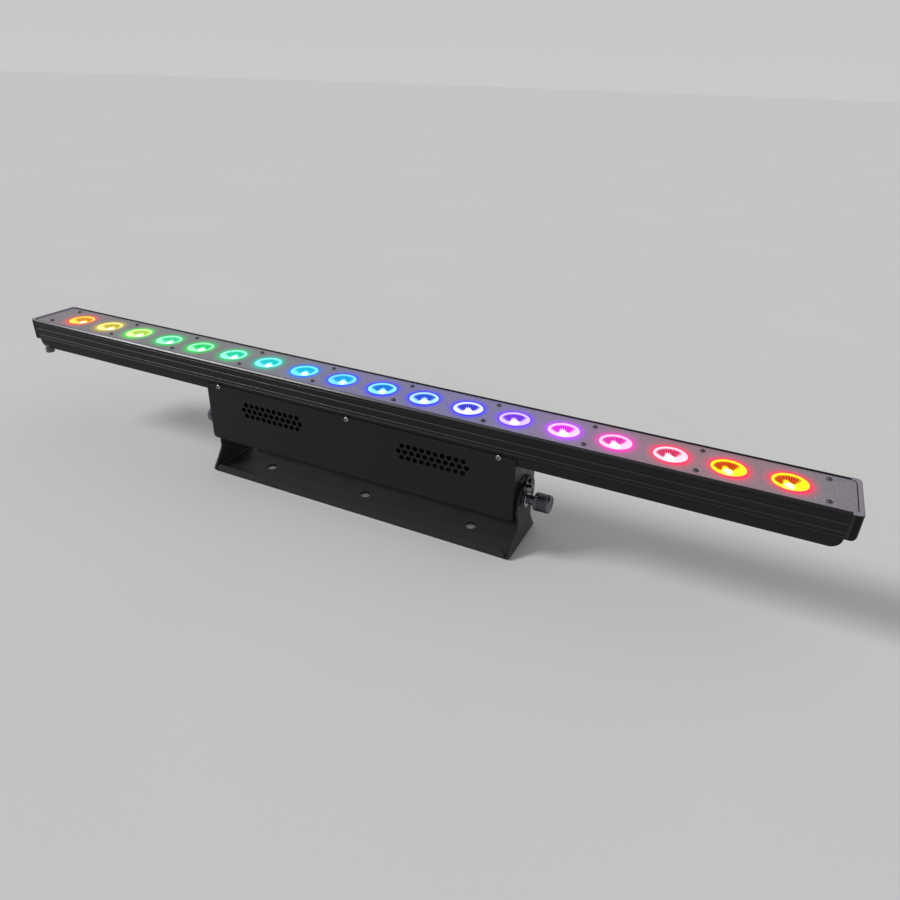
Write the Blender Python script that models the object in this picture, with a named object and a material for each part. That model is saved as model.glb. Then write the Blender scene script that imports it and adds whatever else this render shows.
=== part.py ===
"""LED strip batten: a one metre bar of eighteen lenses on a driver box that tilts in a floor bracket.

Frame: X runs along the bar, -Y is the vented front, +Z is up.  The origin is on the floor, under
the middle of the bracket.  All sizes are in metres.
"""

import math

import bmesh
import bpy
from mathutils import Matrix, Vector

GAP = 0.0003                 # left between pieces that touch
CUT = 0.004                  # how far a cutter runs past the wall it cuts

# ---- the bar ------------------------------------------------------------------------------
LED_COUNT = 18
LED_PITCH = 0.052
BAR_HALF = 0.500
BAR_SIDE = 0.0335            # half the bar's width
PLATE_TOP = 0.1475           # top of the face plate above the floor
RIM_TOP = PLATE_TOP + 0.001
HOUSING_BOTTOM = PLATE_TOP - 0.025
COVER_BOTTOM = PLATE_TOP - 0.036
CAP_LENGTH = 0.009
RIM_INSIDE = 0.0306          # inner face of the rim round the face plate
PLATE_THICK = 0.0015
PLATE_HALF = (0.4950, 0.0300)
PLATE_CORNER = 0.0045
PLATE_SEAT_END = PLATE_HALF[0] + 2 * GAP
CAP_CORNER = 0.005
LEDGE_TOP = PLATE_TOP - PLATE_THICK - GAP
WALL_INSIDE = 0.0285
FLOOR_TOP = HOUSING_BOTTOM + 0.003
RIB_INNER = 0.0187           # the two screw ribs, each side of the lenses
RIB_OUTER = 0.0232
COVER_SIDE = 0.0320          # half width of the lower cover
COVER_WALL = 0.0015
COVER_END_RADIUS = 0.010
COVER_REACH = BAR_HALF - CAP_LENGTH - GAP     # half length of the housing and of the cover
BREATHER_AT = (-0.4785, -0.0305)
BREATHER_STEM = 0.0033
WIRE_SLOT = (0.009, 0.005)   # half length and half width of the cable slot into the bar

# ---- lenses and boards ----------------------------------------------------------------------
OPENING_RADIUS = 0.016
LENS_TOP = PLATE_TOP - 0.0009
FLANGE_TOP = PLATE_TOP - 0.0022
FLANGE_BOTTOM = PLATE_TOP - 0.0040
HOLDER_SIDE = 0.0184
HOLDER_TOP = FLANGE_BOTTOM - GAP
HOLDER_THICK = 0.0025
HOLDER_HALF = 0.4660
POCKET_RADIUS = 0.0156
BOARD_COUNT = 3
BOARD_BOTTOM = FLOOR_TOP + GAP
BOARD_TOP = BOARD_BOTTOM + 0.0016
EMITTER_HALF = 0.0035
EMITTER_TOP = BOARD_TOP + 0.0012
LENS_BOTTOM = EMITTER_TOP + 0.0005

# ---- driver box -------------------------------------------------------------------------------
BOX_HALF = 0.1985
BOX_BOTTOM = PLATE_TOP - 0.1007
BOX_TOP = COVER_BOTTOM - GAP
BOX_WALL = 0.0015
BOX_FRONT = -0.0320
BOX_REAR = 0.0335
FRONT_SHEET = 0.0012
FRONT_TOP = PLATE_TOP - 0.0280
FRONT_CORNER = 0.004
FRONT_SCREWS = (-0.180, 0.0, 0.180)
FRONT_SCREW_Z = PLATE_TOP - 0.0297
FRONT_SCREW_HOLE = 0.0018
VENT_CENTRES = (-0.105, 0.105)
VENT_ROWS = (10, 11, 10)     # holes in each row, top row first
VENT_PITCH = 0.00807
VENT_TOP_ROW = PLATE_TOP - 0.0452
VENT_RADIUS = 0.0029

# ---- bracket and tilt pivot ---------------------------------------------------------------------
PIVOT_Z = PLATE_TOP - 0.090
SHEET = 0.0025
ARM_INSIDE = 0.2000
ARM_OUTSIDE = ARM_INSIDE + SHEET
ARM_HEAD = 0.026
ARM_WAIST = 0.0205
WAIST_BOTTOM = 0.0275
BASE_SIDE = 0.0380
BEND_RADIUS = 0.0045
LIP_HALF = 0.1955
LIP_HEIGHT = 0.0095
BASE_HOLES = (-0.140, 0.0, 0.140)
BASE_HOLE_RADIUS = 0.00625
STUD_RADIUS = 0.0040
WASHER_THICK = 0.0014
GUIDE_RADIUS = 0.0029
GUIDE_Y = -0.008
GUIDE_Z = PIVOT_Z + 0.018
GUIDE_ORBIT = math.hypot(GUIDE_Y, GUIDE_Z - PIVOT_Z)
GUIDE_ANGLE = math.degrees(math.atan2(GUIDE_Z - PIVOT_Z, GUIDE_Y))
TILT_LIMIT = 50.0            # degrees each way, set by the ends of the curved slot

# ---- rear panel -----------------------------------------------------------------------------------
PANEL_BACK = BOX_REAR + GAP
FLANGE_THICK = 0.0020
PANEL_FACE = PANEL_BACK + FLANGE_THICK
CONNECTOR_Z = 0.0790
BUTTON_XS = (-0.0225, -0.0075, 0.0075, 0.0225)
BUTTON_Z = 0.0700
BUTTON_RADIUS = 0.0035
BUTTON_HOLE = BUTTON_RADIUS + 0.0004
PANEL_HALF_X = 0.0360
PANEL_Z = (0.0605, 0.1005)
DISPLAY_Z = 0.0885
DISPLAY_HALF = (0.0160, 0.0075)
DMX_IN_X = 0.080
DMX_OUT_X = 0.125
LATCH_Z = CONNECTOR_Z + 0.0125
SOCKET_BACK = 0.0140
DATA_SHELL = 0.0120           # radius of a data socket's shell
DATA_PIN_CIRCLE = 0.0042
CONTACTS = ((-0.0070, -0.0020), (0.0070, -0.0020), (0.0, 0.0020))   # mains contacts, (x, z)
INLET_X = -0.080
OUTLET_X = -0.125
FUSE_X = -0.165


# ---- helpers --------------------------------------------------------------------------------------

def material(name, colour, roughness, metallic=0.0):
    """A Principled material."""
    made = bpy.data.materials.new(name)
    made.use_nodes = True
    shader = made.node_tree.nodes["Principled BSDF"]
    shader.inputs["Base Color"].default_value = (*colour, 1.0)
    shader.inputs["Roughness"].default_value = roughness
    shader.inputs["Metallic"].default_value = metallic
    made.diffuse_color = (*colour, 1.0)
    return made


def add_object(name, shape, finish=None, origin=(0, 0, 0), parent=None):
    """Turn a bmesh in world coordinates into an object with its origin where asked."""
    bmesh.ops.remove_doubles(shape, verts=shape.verts, dist=1e-6)
    bmesh.ops.recalc_face_normals(shape, faces=shape.faces)
    mesh = bpy.data.meshes.new(name)
    shape.to_mesh(mesh)
    shape.free()
    mesh.transform(Matrix.Translation(-Vector(origin)))
    made = bpy.data.objects.new(name, mesh)
    bpy.context.scene.collection.objects.link(made)
    if finish:
        mesh.materials.append(finish)
        mesh.shade_smooth()
        mesh.set_sharp_from_angle(angle=math.radians(30))
    made.parent = parent
    made.location = Vector(origin) - (parent.location if parent else Vector())
    return made


def add_prism(shape, outline, axis, low, high):
    """Push a closed outline along X, Y or Z.  Its points are the other two coordinates in order."""
    def at(point, along):
        first, second = point
        return {"X": (along, first, second), "Y": (first, along, second), "Z": (first, second, along)}[axis]

    start = shape.faces.new([shape.verts.new(at(point, low)) for point in outline])
    pushed = bmesh.ops.extrude_face_region(shape, geom=[start])["geom"]
    moved = [item for item in pushed if isinstance(item, bmesh.types.BMVert)]
    bmesh.ops.translate(shape, verts=moved, vec=at((0, 0), high - low))


def prism(name, outline, axis, low, high, **placing):
    shape = bmesh.new()
    add_prism(shape, outline, axis, low, high)
    return add_object(name, shape, **placing)


def block_outline(low, high):
    return [(low[0], low[1]), (high[0], low[1]), (high[0], high[1]), (low[0], high[1])]


def add_block(shape, low, high):
    add_prism(shape, block_outline(low[:2], high[:2]), "Z", low[2], high[2])


def block(name, low, high, **placing):
    shape = bmesh.new()
    add_block(shape, low, high)
    return add_object(name, shape, **placing)


def arc(centre, radius, start, end, steps):
    """Points on a circle from one angle to another, in degrees, both ends included."""
    angles = [math.radians(start + (end - start) * step / steps) for step in range(steps + 1)]
    return [(centre[0] + radius * math.cos(a), centre[1] + radius * math.sin(a)) for a in angles]


def rounded_outline(half_x, half_y, radius, steps=4):
    """A rectangle about the origin with round corners."""
    points = []
    for sign_x, sign_y, start in ((1, 1, 0), (-1, 1, 90), (-1, -1, 180), (1, -1, 270)):
        centre = (sign_x * (half_x - radius), sign_y * (half_y - radius))
        points += arc(centre, radius, start, start + 90, steps)
    return points


def circle(centre, radius, sides):
    return arc(centre, radius, 0, 360, sides)[:-1]


def add_turned(shape, profile, axis, centre, sides):
    """Turn (place along the axis, radius) points about an axis; a radius of 0 closes the end."""
    rings = []
    for along, radius in profile:
        points = [centre] if radius == 0 else circle(centre, radius, sides)
        order = {"X": lambda p: (along, p[0], p[1]),
                 "Y": lambda p: (p[0], along, p[1]),
                 "Z": lambda p: (p[0], p[1], along)}[axis]
        rings.append([shape.verts.new(order(point)) for point in points])
    for lower, upper in zip(rings, rings[1:]):
        for side in range(sides):
            after = (side + 1) % sides
            corners = [lower[side % len(lower)], lower[after % len(lower)],
                       upper[after % len(upper)], upper[side % len(upper)]]
            shape.faces.new(list(dict.fromkeys(corners)))


def turned(name, profile, axis, centre, sides, **placing):
    shape = bmesh.new()
    add_turned(shape, profile, axis, centre, sides)
    return add_object(name, shape, **placing)


def tool(name, fill):
    """A cutter: fill(shape) adds its geometry."""
    shape = bmesh.new()
    fill(shape)
    made = add_object(name, shape)
    made.hide_render = True
    made.display_type = "WIRE"
    return made


def combine(target, other, operation):
    step = target.modifiers.new(other.name, "BOOLEAN")
    step.operation = operation
    step.solver = "EXACT"
    step.object = other


def cut(target, name, fill):
    combine(target, tool(name, fill), "DIFFERENCE")


def join(target, name, fill):
    combine(target, tool(name, fill), "UNION")


def keep(target, name, fill):
    combine(target, tool(name, fill), "INTERSECT")


def led_x(index):
    return (index - (LED_COUNT - 1) / 2) * LED_PITCH


# ---- materials --------------------------------------------------------------------------------------

def make_materials():
    return {
        "black_paint": material("black_paint", (0.018, 0.018, 0.021), 0.42),
        "black_aluminium": material("black_aluminium", (0.018, 0.018, 0.021), 0.42),
        "plate": material("plate", (0.46, 0.45, 0.47), 0.38),
        "bracket": material("bracket", (0.022, 0.022, 0.026), 0.48),
        "steel": material("steel", (0.62, 0.62, 0.64), 0.28, 1.0),
        "dark_metal": material("dark_metal", (0.10, 0.10, 0.11), 0.33, 1.0),
        "nylon": material("nylon", (0.03, 0.03, 0.03), 0.55),
        "aluminium": material("aluminium", (0.55, 0.56, 0.58), 0.40, 1.0),
        "board": material("board", (0.80, 0.80, 0.76), 0.45),
        "holder": material("holder", (0.02, 0.02, 0.02), 0.50),
        "green_board": material("green_board", (0.02, 0.16, 0.07), 0.45),
        "plastic": material("plastic", (0.02, 0.02, 0.022), 0.40),
        "window": material("window", (0.03, 0.03, 0.04), 0.08),
        "vent_plug": material("vent_plug", (0.42, 0.42, 0.42), 0.50),
        "cap": material("cap", (0.35, 0.02, 0.02), 0.40),
    }


# ---- bracket -------------------------------------------------------------------------------------------

def make_bracket(finishes):
    """One folded sheet: base, two arms, and an upturned lip along both long edges."""
    outer, inner = BEND_RADIUS, BEND_RADIUS - SHEET
    arm_top = PIVOT_Z + ARM_HEAD
    right = [(ARM_OUTSIDE, arm_top), (ARM_INSIDE, arm_top)]
    right += arc((ARM_INSIDE - inner, SHEET + inner), inner, 0, -90, 3)
    left = [(-x, z) for x, z in reversed(right)]
    under_right = arc((ARM_OUTSIDE - outer, outer), outer, -90, 0, 4)
    under_left = [(-x, z) for x, z in reversed(under_right)]
    outline = right + left + under_left + under_right
    bracket = prism("yoke_bracket", outline, "Y", -BASE_SIDE, BASE_SIDE, finish=finishes["bracket"])

    def arm_shape(shape):
        flare_rise = WAIST_BOTTOM - SHEET
        flare = []
        for step in range(7):
            part = step / 6
            width = ARM_WAIST + (BASE_SIDE - ARM_WAIST) * (1 - part) ** 1.15
            flare.append((width, SHEET + flare_rise * part))
        start = -math.degrees(math.acos(ARM_WAIST / ARM_HEAD))
        head = arc((0, PIVOT_Z), ARM_HEAD, start, 90, 12)
        side = [(BASE_SIDE + CUT, -CUT), (BASE_SIDE + CUT, SHEET)] + flare + head
        add_prism(shape, side + [(-y, z) for y, z in reversed(side[:-1])], "X",
                  -ARM_OUTSIDE - CUT, ARM_OUTSIDE + CUT)

    keep(bracket, "arm_outline", arm_shape)

    def lips(shape):
        radius = 0.0045
        top = arc((LIP_HALF - radius, LIP_HEIGHT - radius), radius, 0, 90, 4)
        outline = [(-LIP_HALF, 0.0)] + [(LIP_HALF, 0.0)] + top + [(-x, z) for x, z in reversed(top)]
        for side in (-1, 1):
            edges = sorted((side * (BASE_SIDE + 0.0002), side * (BASE_SIDE - SHEET)))
            add_prism(shape, outline, "Y", *edges)

    join(bracket, "lips", lips)

    def holes(shape):
        for x in BASE_HOLES:
            add_turned(shape, closed_pin(-CUT, SHEET + CUT, BASE_HOLE_RADIUS), "Z", (x, 0), 24)
        reach = ARM_OUTSIDE + CUT
        add_turned(shape, closed_pin(-reach, reach, STUD_RADIUS + 0.0006), "X", (0, PIVOT_Z), 20)
        half = GUIDE_RADIUS + 0.0004
        low, high = GUIDE_ANGLE - TILT_LIMIT - 0.5, GUIDE_ANGLE + TILT_LIMIT + 0.5
        centre = (0, PIVOT_Z)
        slot = arc(centre, GUIDE_ORBIT + half, low, high, 14)
        slot += arc(arc(centre, GUIDE_ORBIT, high, high, 1)[0], half, high, high + 180, 6)[1:-1]
        slot += arc(centre, GUIDE_ORBIT - half, high, low, 12)
        slot += arc(arc(centre, GUIDE_ORBIT, low, low, 1)[0], half, low + 180, low + 360, 6)[1:-1]
        add_prism(shape, slot, "X", -reach, reach)

    cut(bracket, "bracket_holes", holes)
    return bracket


def closed_pin(low, high, radius):
    """Profile of a plain pin between two places along its axis."""
    return [(low, 0), (low, radius), (high, radius), (high, 0)]


def ring(low, high, inner, outer):
    """Profile of a plain washer."""
    return [(low, inner), (low, outer), (high, outer), (high, inner), (low, inner)]


# ---- the bar ---------------------------------------------------------------------------------------------

def housing_side():
    """Right half of the extrusion's section, outside from the rim down, as (y, z)."""
    side, top = BAR_SIDE, PLATE_TOP
    round_edge = 0.0022
    points = [(RIM_INSIDE, RIM_TOP)]
    points += arc((side - round_edge, RIM_TOP - round_edge), round_edge, 90, 0, 4)
    points += [(side, top - 0.0028), (side - 0.0005, top - 0.0032), (side, top - 0.0036)]
    for groove_top, groove_bottom, depth in ((0.0080, 0.0105, 0.0008), (0.0160, 0.0190, 0.0008),
                                             (0.0214, 0.0226, 0.0011)):
        points += [(side, top - groove_top), (side - depth, top - groove_top),
                   (side - depth, top - groove_bottom), (side, top - groove_bottom)]
    points.append((side, HOUSING_BOTTOM))
    return points


def make_housing(finishes, head):
    """The extruded channel: floor, side walls with grooves, rim, ledges and screw ribs."""
    outside = housing_side()
    inside = [(RIB_INNER, FLOOR_TOP), (RIB_INNER, LEDGE_TOP), (RIB_OUTER, LEDGE_TOP), (RIB_OUTER, FLOOR_TOP),
              (WALL_INSIDE, FLOOR_TOP), (WALL_INSIDE, LEDGE_TOP), (RIM_INSIDE, LEDGE_TOP)]
    half = inside + outside
    outline = half + [(-y, z) for y, z in reversed(half)]
    housing = prism("bar_housing", outline, "X", -COVER_REACH, COVER_REACH,
                    finish=finishes["black_aluminium"], origin=head.location, parent=head)
    slot_x, slot_y = WIRE_SLOT
    cut(housing, "housing_wire_slot", lambda shape: add_block(
        shape, (-slot_x, -slot_y, HOUSING_BOTTOM - CUT), (slot_x, slot_y, FLOOR_TOP + CUT / 4)))


def make_end_cap(name, side, finishes, head):
    """Cast cap that closes one end, with a ledge for the face plate and a tongue into the channel."""
    corner = CAP_CORNER
    inner, outer = BAR_HALF - CAP_LENGTH, BAR_HALF
    profile = [(inner, RIM_TOP), (inner, HOUSING_BOTTOM)]
    profile += arc((outer - corner, HOUSING_BOTTOM + corner), corner, -90, 0, 4)
    profile += arc((outer - 0.0015, RIM_TOP - 0.0015), 0.0015, 0, 90, 2)
    cap = prism(name, [(side * x, z) for x, z in profile], "Y", -BAR_SIDE, BAR_SIDE,
                finish=finishes["black_aluminium"], origin=head.location, parent=head)

    def plan(shape):
        half = BAR_SIDE
        outline = [(inner - CUT, -half)] + arc((outer - corner, -half + corner), corner, -90, 0, 4)
        outline += arc((outer - corner, half - corner), corner, 0, 90, 4) + [(inner - CUT, half)]
        add_prism(shape, [(side * x, y) for x, y in outline], "Z", HOUSING_BOTTOM - CUT, RIM_TOP + CUT)

    keep(cap, name + "_plan", plan)

    def ledge(shape):
        xs = sorted((side * (inner - CUT), side * PLATE_SEAT_END))
        add_block(shape, (xs[0], -RIM_INSIDE, LEDGE_TOP), (xs[1], RIM_INSIDE, RIM_TOP + CUT))

    cut(cap, name + "_ledge", ledge)

    def tongue(shape):
        xs = sorted((side * (inner - 0.006), side * (inner + 0.001)))
        add_block(shape, (xs[0], -RIB_INNER + 0.0005, FLOOR_TOP + 0.0005),
                  (xs[1], RIB_INNER - 0.0005, LEDGE_TOP - 0.0012))

    join(cap, name + "_tongue", tongue)


def make_face_plate(finishes, head):
    plate = prism("face_plate", rounded_outline(*PLATE_HALF, PLATE_CORNER), "Z",
                  PLATE_TOP - PLATE_THICK, PLATE_TOP, finish=finishes["plate"],
                  origin=head.location, parent=head)

    def openings(shape):
        for index in range(LED_COUNT):
            add_turned(shape, closed_pin(PLATE_TOP - PLATE_THICK - CUT, PLATE_TOP + CUT, OPENING_RADIUS),
                       "Z", (led_x(index), 0), 20)

    cut(plate, "plate_openings", openings)


def make_lens_holder(finishes, head):
    """Moulded strip: a deck with one pocket for each lens, on two skirts that stand on the boards."""
    skirt = HOLDER_SIDE - 0.0013
    deck = HOLDER_TOP - HOLDER_THICK
    foot = BOARD_TOP + GAP
    outline = [(-HOLDER_SIDE, foot), (-skirt, foot), (-skirt, deck), (skirt, deck), (skirt, foot),
               (HOLDER_SIDE, foot), (HOLDER_SIDE, HOLDER_TOP), (-HOLDER_SIDE, HOLDER_TOP)]
    holder = prism("lens_holder", outline, "X", -HOLDER_HALF, HOLDER_HALF, finish=finishes["holder"],
                   origin=head.location, parent=head)

    def pockets(shape):
        for index in range(LED_COUNT):
            add_turned(shape, closed_pin(deck - CUT, HOLDER_TOP + CUT, POCKET_RADIUS),
                       "Z", (led_x(index), 0), 16)

    cut(holder, "holder_pockets", pockets)


def make_boards(finishes, head):
    """Three metal-core boards, each with its six emitters."""
    per_board = LED_COUNT // BOARD_COUNT
    length = per_board * LED_PITCH
    for number, name in enumerate(("led_board_left", "led_board_centre", "led_board_right")):
        middle = (number - (BOARD_COUNT - 1) / 2) * length
        half = length / 2 - GAP
        low, high = (middle - half, -HOLDER_SIDE, BOARD_BOTTOM), (middle + half, HOLDER_SIDE, BOARD_TOP)
        board = block(name, low, high, finish=finishes["board"], origin=head.location, parent=head)

        def emitters(shape, first=number * per_board):
            for index in range(first, first + per_board):
                x = led_x(index)
                add_block(shape, (x - EMITTER_HALF, -EMITTER_HALF, BOARD_TOP - 0.0004),
                          (x + EMITTER_HALF, EMITTER_HALF, EMITTER_TOP))

        join(board, name + "_emitters", emitters)


def lens_colour(index):
    """The lamp's colour run: amber and green at the left, blue past the middle, red at the right."""
    run = ((1.0, 0.55, 0.05), (0.1, 0.9, 0.2), (0.1, 0.8, 0.9), (0.1, 0.2, 1.0), (1.0, 0.1, 0.8),
           (1.0, 0.3, 0.05))
    place = index / (LED_COUNT - 1) * (len(run) - 1)
    step = min(int(place), len(run) - 2)
    blend = place - step
    return tuple(a + (b - a) * blend for a, b in zip(run[step], run[step + 1]))


def make_lenses(head):
    """Eighteen collimator lenses, each a cone under a flanged disc."""
    profile = [(LENS_BOTTOM, 0), (LENS_BOTTOM, 0.0050), (FLANGE_BOTTOM, 0.0144), (FLANGE_BOTTOM, 0.0164),
               (FLANGE_TOP, 0.0164), (LENS_TOP, 0.0150), (LENS_TOP, 0)]
    for index in range(LED_COUNT):
        name = f"lens_{index + 1:02d}"
        turned(name, profile, "Z", (led_x(index), 0), 16, finish=material(name, lens_colour(index), 0.15),
               origin=head.location, parent=head)


def make_back_cover(finishes, head):
    """Shallow tub under the bar, with round ends."""
    reach = COVER_REACH
    top = HOUSING_BOTTOM - GAP

    def tub_outline(half, bottom, radius, above):
        points = [(-half, above)] + arc((-half + radius, bottom + radius), radius, 180, 270, 5)
        return points + arc((half - radius, bottom + radius), radius, 270, 360, 5) + [(half, above)]

    cover = prism("back_cover", tub_outline(reach, COVER_BOTTOM, COVER_END_RADIUS, top), "Y",
                  -COVER_SIDE, COVER_SIDE, finish=finishes["black_paint"],
                  origin=head.location, parent=head)
    inside = tub_outline(reach - COVER_WALL, COVER_BOTTOM + COVER_WALL, COVER_END_RADIUS - COVER_WALL,
                         top + CUT)
    cut(cover, "cover_hollow", lambda shape: add_prism(
        shape, inside, "Y", -COVER_SIDE + COVER_WALL, COVER_SIDE - COVER_WALL))

    def holes(shape):
        for x in FRONT_SCREWS:
            through = closed_pin(-COVER_SIDE - CUT, -COVER_SIDE + COVER_WALL + CUT, FRONT_SCREW_HOLE)
            add_turned(shape, through, "Y", (x, FRONT_SCREW_Z), 12)
        slot_x, slot_y = WIRE_SLOT
        low, high = COVER_BOTTOM - CUT, COVER_BOTTOM + COVER_WALL + CUT
        add_block(shape, (-slot_x, -slot_y, low), (slot_x, slot_y, high))
        add_turned(shape, closed_pin(low, high, BREATHER_STEM + 0.0004), "Z", BREATHER_AT, 16)

    cut(cover, "cover_holes", holes)



def make_breather(finishes, head):
    """Small vent plug under the left end of the bar."""
    bottom = COVER_BOTTOM
    profile = [(bottom - 0.0065, 0), (bottom - 0.0065, 0.0045), (bottom - 0.0055, 0.0055),
               (bottom - GAP, 0.0055), (bottom - GAP, BREATHER_STEM), (bottom + 0.0045, BREATHER_STEM),
               (bottom + 0.0045, 0)]
    turned("breather_plug", profile, "Z", BREATHER_AT, 16, finish=finishes["vent_plug"],
           origin=head.location, parent=head)


# ---- driver box -----------------------------------------------------------------------------------------

def make_driver_box(finishes, head):
    """Folded box, open at the front, with the holes of its side walls, top and rear panel."""
    box = block("driver_box", (-BOX_HALF, BOX_FRONT, BOX_BOTTOM), (BOX_HALF, BOX_REAR, BOX_TOP),
                finish=finishes["black_paint"], origin=head.location, parent=head)
    inner = BOX_HALF - BOX_WALL
    cut(box, "box_hollow", lambda shape: add_block(
        shape, (-inner, BOX_FRONT - CUT, BOX_BOTTOM + BOX_WALL),
        (inner, BOX_REAR - BOX_WALL, BOX_TOP - BOX_WALL)))

    def holes(shape):
        for side in (-1, 1):
            ends = sorted((side * (inner - CUT), side * (BOX_HALF + CUT)))
            add_turned(shape, closed_pin(*ends, STUD_RADIUS + 0.0004), "X", (0, PIVOT_Z), 20)
            add_turned(shape, closed_pin(*ends, GUIDE_RADIUS + GAP), "X", (GUIDE_Y, GUIDE_Z), 16)
        slot_x, slot_y = WIRE_SLOT
        add_block(shape, (-slot_x, -slot_y, BOX_TOP - BOX_WALL - CUT), (slot_x, slot_y, BOX_TOP + CUT))
        near, far = BOX_REAR - BOX_WALL - CUT, BOX_REAR + CUT
        for x in (DMX_IN_X, DMX_OUT_X):
            add_turned(shape, closed_pin(near, far, 0.0124), "Y", (x, CONNECTOR_Z), 20)
        for x in (INLET_X, OUTLET_X):
            add_block(shape, (x - 0.0144, near, CONNECTOR_Z - 0.0104),
                      (x + 0.0144, far, CONNECTOR_Z + 0.0104))
        add_turned(shape, closed_pin(near, far, 0.0064), "Y", (FUSE_X, CONNECTOR_Z), 16)
        for x in BUTTON_XS:
            add_turned(shape, closed_pin(near, far, BUTTON_HOLE), "Y", (x, BUTTON_Z), 12)
        add_block(shape, (-DISPLAY_HALF[0], near, DISPLAY_Z - DISPLAY_HALF[1]),
                  (DISPLAY_HALF[0], far, DISPLAY_Z + DISPLAY_HALF[1]))

    cut(box, "box_holes", holes)
    # the latch tab's own clearance joins the round hole above the right-hand data socket
    cut(box, "box_latch_slot", lambda shape: add_block(
        shape, (DMX_OUT_X - 0.0034, BOX_REAR - BOX_WALL - CUT, LATCH_Z - 0.0050),
        (DMX_OUT_X + 0.0034, BOX_REAR + CUT, LATCH_Z + 0.0026)))


def vent_holes():
    """Centres of the round vents as (x, z): two grilles of three staggered rows."""
    rise = VENT_PITCH * math.sqrt(3) / 2
    for centre in VENT_CENTRES:
        for row, count in enumerate(VENT_ROWS):
            for step in range(count):
                yield centre + (step - (count - 1) / 2) * VENT_PITCH, VENT_TOP_ROW - row * rise


def make_front_cover(finishes, head):
    """Vented sheet over the box's open front, screwed to the lower cover of the bar."""
    outer, inner = -BAR_SIDE, -BAR_SIDE + FRONT_SHEET
    outline = [(BOX_HALF, FRONT_TOP), (-BOX_HALF, FRONT_TOP)]
    outline += arc((-BOX_HALF + FRONT_CORNER, BOX_BOTTOM + FRONT_CORNER), FRONT_CORNER, 180, 270, 4)
    outline += arc((BOX_HALF - FRONT_CORNER, BOX_BOTTOM + FRONT_CORNER), FRONT_CORNER, 270, 360, 4)
    cover = prism("vented_front_cover", outline, "Y", outer, inner, finish=finishes["black_paint"],
                  origin=head.location, parent=head)

    def holes(shape):
        for x, z in vent_holes():
            add_turned(shape, closed_pin(outer - CUT, inner + CUT, VENT_RADIUS), "Y", (x, z), 6)
        for x in FRONT_SCREWS:
            through = closed_pin(outer - CUT, inner + CUT, FRONT_SCREW_HOLE)
            add_turned(shape, through, "Y", (x, FRONT_SCREW_Z), 12)

    cut(cover, "front_holes", holes)


def make_front_screws(finishes, head):
    """Pan-head screws through the front sheet into the lower cover."""
    seat = -BAR_SIDE - GAP
    profile = [(seat - 0.0018, 0), (seat - 0.0018, 0.0019), (seat - 0.0010, 0.0029), (seat, 0.0031),
               (seat, 0.0015), (-0.0280, 0.0015), (-0.0280, 0)]
    for number, x in enumerate(FRONT_SCREWS, 1):
        turned(f"cover_screw_{number}", profile, "Y", (x, FRONT_SCREW_Z), 16, finish=finishes["steel"],
               origin=head.location, parent=head)


def make_electronics(finishes, head):
    """Power supply on the box floor and the control board behind the rear panel."""
    floor = BOX_BOTTOM + BOX_WALL + GAP
    supply = block("power_supply", (-0.060, -0.024, floor), (0.150, 0.014, floor + 0.030),
                   finish=finishes["aluminium"], origin=head.location, parent=head)

    def terminals(shape):
        add_block(shape, (-0.072, -0.020, floor + 0.004), (-0.058, 0.010, floor + 0.016))

    join(supply, "supply_terminals", terminals)
    board_low, board_high = 0.0195, 0.0211
    board = block("control_board", (-0.045, board_low, 0.0580), (0.052, board_high, 0.1020),
                  finish=finishes["green_board"], origin=head.location, parent=head)

    def parts(shape):
        add_block(shape, (-0.0150, board_high - 0.0004, DISPLAY_Z - 0.0065),
                  (0.0150, BOX_REAR - 0.0010, DISPLAY_Z + 0.0065))
        for x in BUTTON_XS:
            add_block(shape, (x - 0.0030, board_high - 0.0004, BUTTON_Z - 0.0030),
                      (x + 0.0030, board_high + 0.0028, BUTTON_Z + 0.0030))

    join(board, "board_parts", parts)


def make_control_panel(finishes, head):
    """Bezel on the rear face, with the display window and four push buttons."""
    middle, half = (PANEL_Z[0] + PANEL_Z[1]) / 2, (PANEL_Z[1] - PANEL_Z[0]) / 2
    outline = [(x, z + middle) for x, z in rounded_outline(PANEL_HALF_X, half, 0.003, 3)]
    panel = prism("control_panel", outline, "Y", PANEL_BACK, PANEL_FACE, finish=finishes["plastic"],
                  origin=head.location, parent=head)

    def holes(shape):
        add_block(shape, (-DISPLAY_HALF[0], PANEL_BACK - CUT, DISPLAY_Z - DISPLAY_HALF[1]),
                  (DISPLAY_HALF[0], PANEL_FACE + CUT, DISPLAY_Z + DISPLAY_HALF[1]))
        for x in BUTTON_XS:
            through = closed_pin(PANEL_BACK - CUT, PANEL_FACE + CUT, BUTTON_HOLE)
            add_turned(shape, through, "Y", (x, BUTTON_Z), 16)

    cut(panel, "panel_holes", holes)
    block("display_window", (-DISPLAY_HALF[0] + GAP, PANEL_FACE - 0.0016, DISPLAY_Z - DISPLAY_HALF[1] + GAP),
          (DISPLAY_HALF[0] - GAP, PANEL_FACE - 0.0004, DISPLAY_Z + DISPLAY_HALF[1] - GAP),
          finish=finishes["window"], origin=head.location, parent=head)
    inside = BOX_REAR - BOX_WALL
    cap = PANEL_FACE + 0.0018
    profile = [(0.0252, 0), (0.0252, 0.0020), (inside - 0.0016, 0.0020), (inside - 0.0016, 0.0048),
               (inside - 0.0006, 0.0048), (inside - 0.0006, BUTTON_RADIUS), (cap - 0.0006, BUTTON_RADIUS),
               (cap, BUTTON_RADIUS - 0.0006), (cap, 0)]
    for number, x in enumerate(BUTTON_XS, 1):
        turned(f"menu_button_{number}", profile, "Y", (x, BUTTON_Z), 14, finish=finishes["nylon"],
               origin=(x, PANEL_FACE, BUTTON_Z), parent=head)


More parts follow.
